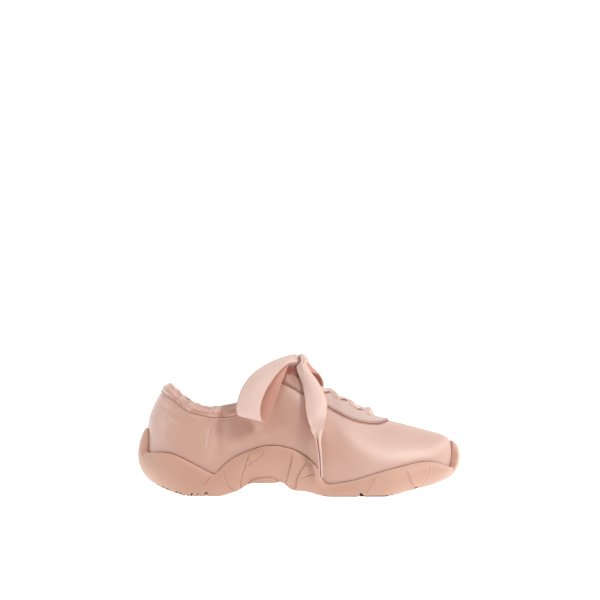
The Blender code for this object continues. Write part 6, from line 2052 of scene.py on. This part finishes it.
def stitches(casing_line, stay_parts):
    threads, holes = [], []

    def row(line, n, pitch, long, thick, hole, sink):
        p, nn = along_line(line, n, pitch)
        threads.append(bars(p + nn * 0.00002, nn, long, thick))
        shift = unit(np.gradient(p, axis=0)) * pitch / 2000
        holes.append(beads(p + shift - nn * sink, nn, hole))

    line, n = casing_line
    row(line, n, 2.1, 0.8, 0.24, 0.52, -0.00006)
    for a, low, line, n in stay_parts:
        row(line, n, 2.4, 1.1, 0.30, 0.60, -0.00006)
        # a second row holds the stay's turning to the upper under its edge
        t = back_from(a, np.maximum(low, 1e-3), 0.0014)
        ok = RIBS_AT["top"](np.abs(a)) > 128
        line, n = form(a[ok], t[ok], np.full(ok.sum(), 0.00006)), normal(a[ok], t[ok])
        p, nn = along_line(line, n, 1.9)
        threads.append(bars(p, nn, 1.2, 0.34))
        shift = unit(np.gradient(p, axis=0)) * 0.00095
        holes.append(beads(p + shift + nn * 0.00010, nn, 0.42))
    item = joined("seam_threads", threads, THREAD)
    # the dark domes at the needle holes are painted shade
    dark = joined("needle_holes_painted_shade", holes, HOLE_PAINTED_SHADE)
    return item, dark


def slots():
    """Slots of the stay that the ribbon goes through: a dark disc, painted shade in the opening, with a turned lip
    round it."""
    lips, dark = [], []
    for x in EYELET_ROWS:
        for side in (-1, 1):
            p, n = throat_spot(side, x, EYELET_INSET, 1.30)
            q, _ = throat_spot(side, x + 2.0, EYELET_INSET, 1.30)
            s = unit((q - p)[None])[0]
            s = unit((s - n * (s @ n))[None])[0]
            t = np.cross(n, s)
            v, f, rim, m1, m2 = [], [], [], 36, 8
            for i in range(m1):
                u = 2 * math.pi * i / m1
                c, d = math.cos(u), math.sin(u)
                c = s * math.copysign(abs(c) ** 0.8, c) * 3.0 + t * d * 1.15
                out = unit(c[None])[0]
                rim.append(p + (c * 0.94 + n * 0.02) / 1000)
                for j in range(m2):
                    w = 2 * math.pi * j / m2
                    v.append(p + (c + out * 0.42 * math.cos(w) + n * 0.30 * math.sin(w)) / 1000)
            for i in range(m1):
                for j in range(m2):
                    k = ((i + 1) % m1) * m2
                    f.append([i * m2 + j, k + j, k + (j + 1) % m2, i * m2 + (j + 1) % m2])
            lips.append((np.array(v), f))
            low = [r - n * 0.0006 for r in rim]
            v = np.array(rim + low + [p + n * 0.00003, p - n * 0.0006])
            f = [[i, (i + 1) % m1, m1 + (i + 1) % m1, m1 + i] for i in range(m1)]
            f += [[2 * m1, (2 * i + 2) % m1, 2 * i + 1, 2 * i] for i in range(m1 // 2)]
            f += [[2 * m1 + 1, m1 + 2 * i, m1 + 2 * i + 1, m1 + (2 * i + 2) % m1] for i in range(m1 // 2)]
            dark.append((v, f))
    return joined("slot_lips", lips, STAY_SATIN), joined("slot_openings_painted_shade", dark, HOLE_PAINTED_SHADE)


# ------------------------------------------------------------------ build it
upper_piece()
casing, casing_line = casing_piece()
stay, stay_parts = stay_piece()
sole_piece()
insole_piece()
tongue_piece()
bows = bow_pieces()
knot = knot_piece()
lacing_piece()
stitches(casing_line, stay_parts)
slots()


# ------------------------------------------------- floor, light and camera
def cyclorama():
    """A pale floor that sweeps up into the backdrop."""
    line = [(-5.0, 0.0), (0.9, 0.0)]
    line += [
        (0.9 + 1.2 * math.sin(u), 1.2 - 1.2 * math.cos(u))
        for u in np.linspace(0, math.pi / 2, 24)[1:]
    ]
    line += [(2.1, 4.5)]
    verts = [(x, y, z) for y, z in line for x in (-6.0, 6.0)]
    faces = [(2 * i, 2 * i + 1, 2 * i + 3, 2 * i + 2) for i in range(len(line) - 1)]
    mesh = bpy.data.meshes.new("studio_floor")
    mesh.from_pydata(verts, [], faces)
    for f in mesh.polygons:
        f.use_smooth = True
    item = bpy.data.objects.new("studio_floor", mesh)
    bpy.context.scene.collection.objects.link(item)
    m = Nodes("studio_white")
    m.set(Base_Color=(0.50, 0.50, 0.50, 1.0), Roughness=0.9, Specular_IOR_Level=0.0)
    m.set(Emission_Color=(1.0, 1.0, 1.0, 1.0), Emission_Strength=0.86)
    mesh.materials.append(m.material)


def lamp(name, place, aim, size, power, colour=(1, 1, 1)):
    data = bpy.data.lights.new(name, "AREA")
    data.shape, data.size, data.energy, data.color = "DISK", size, power, colour
    item = bpy.data.objects.new(name, data)
    item.location = place
    item.rotation_euler = (Vector(aim) - Vector(place)).to_track_quat("-Z", "Y").to_euler()
    bpy.context.scene.collection.objects.link(item)


cyclorama()
lamp("key", (1.45, -1.36, 1.38), (0.02, 0.0, 0.05), 0.60, 27.5, (1.0, 0.985, 0.975))
lamp("fill", (-2.2, -0.90, 0.9), (0.0, 0.0, 0.05), 1.2, 15.0)
lamp("top", (0.10, -0.40, 1.5), (0.0, 0.0, 0.05), 0.80, 6.5)
lamp("rim", (1.50, 0.20, 1.10), (0.06, 0.0, 0.05), 0.90, 8.0)
world = bpy.data.worlds.new("studio")
world.use_nodes = True
world.node_tree.nodes["Background"].inputs[0].default_value = (1.0, 0.86, 0.78, 1.0)
world.node_tree.nodes["Background"].inputs[1].default_value = 0.10
bpy.context.scene.world = world
bpy.context.scene.view_settings.view_transform = "Standard"
bpy.context.scene.view_settings.look = "None"

FRAME_WIDTH = 0.492  # what the frame is wide at the middle of the shoe, metres
AIM = Vector((0.0006, 0.0, 0.1598))
FROM = Vector((0.0006, -3.2, 0.100))
data = bpy.data.cameras.new("camera")
camera = bpy.data.objects.new("camera", data)
camera.location = FROM
camera.rotation_euler = (AIM - FROM).to_track_quat("-Z", "Y").to_euler()
data.sensor_width = 36.0
data.lens = 36.0 * (AIM - FROM).length / FRAME_WIDTH
data.clip_end = 60.0
bpy.context.scene.collection.objects.link(camera)
bpy.context.scene.camera = camera
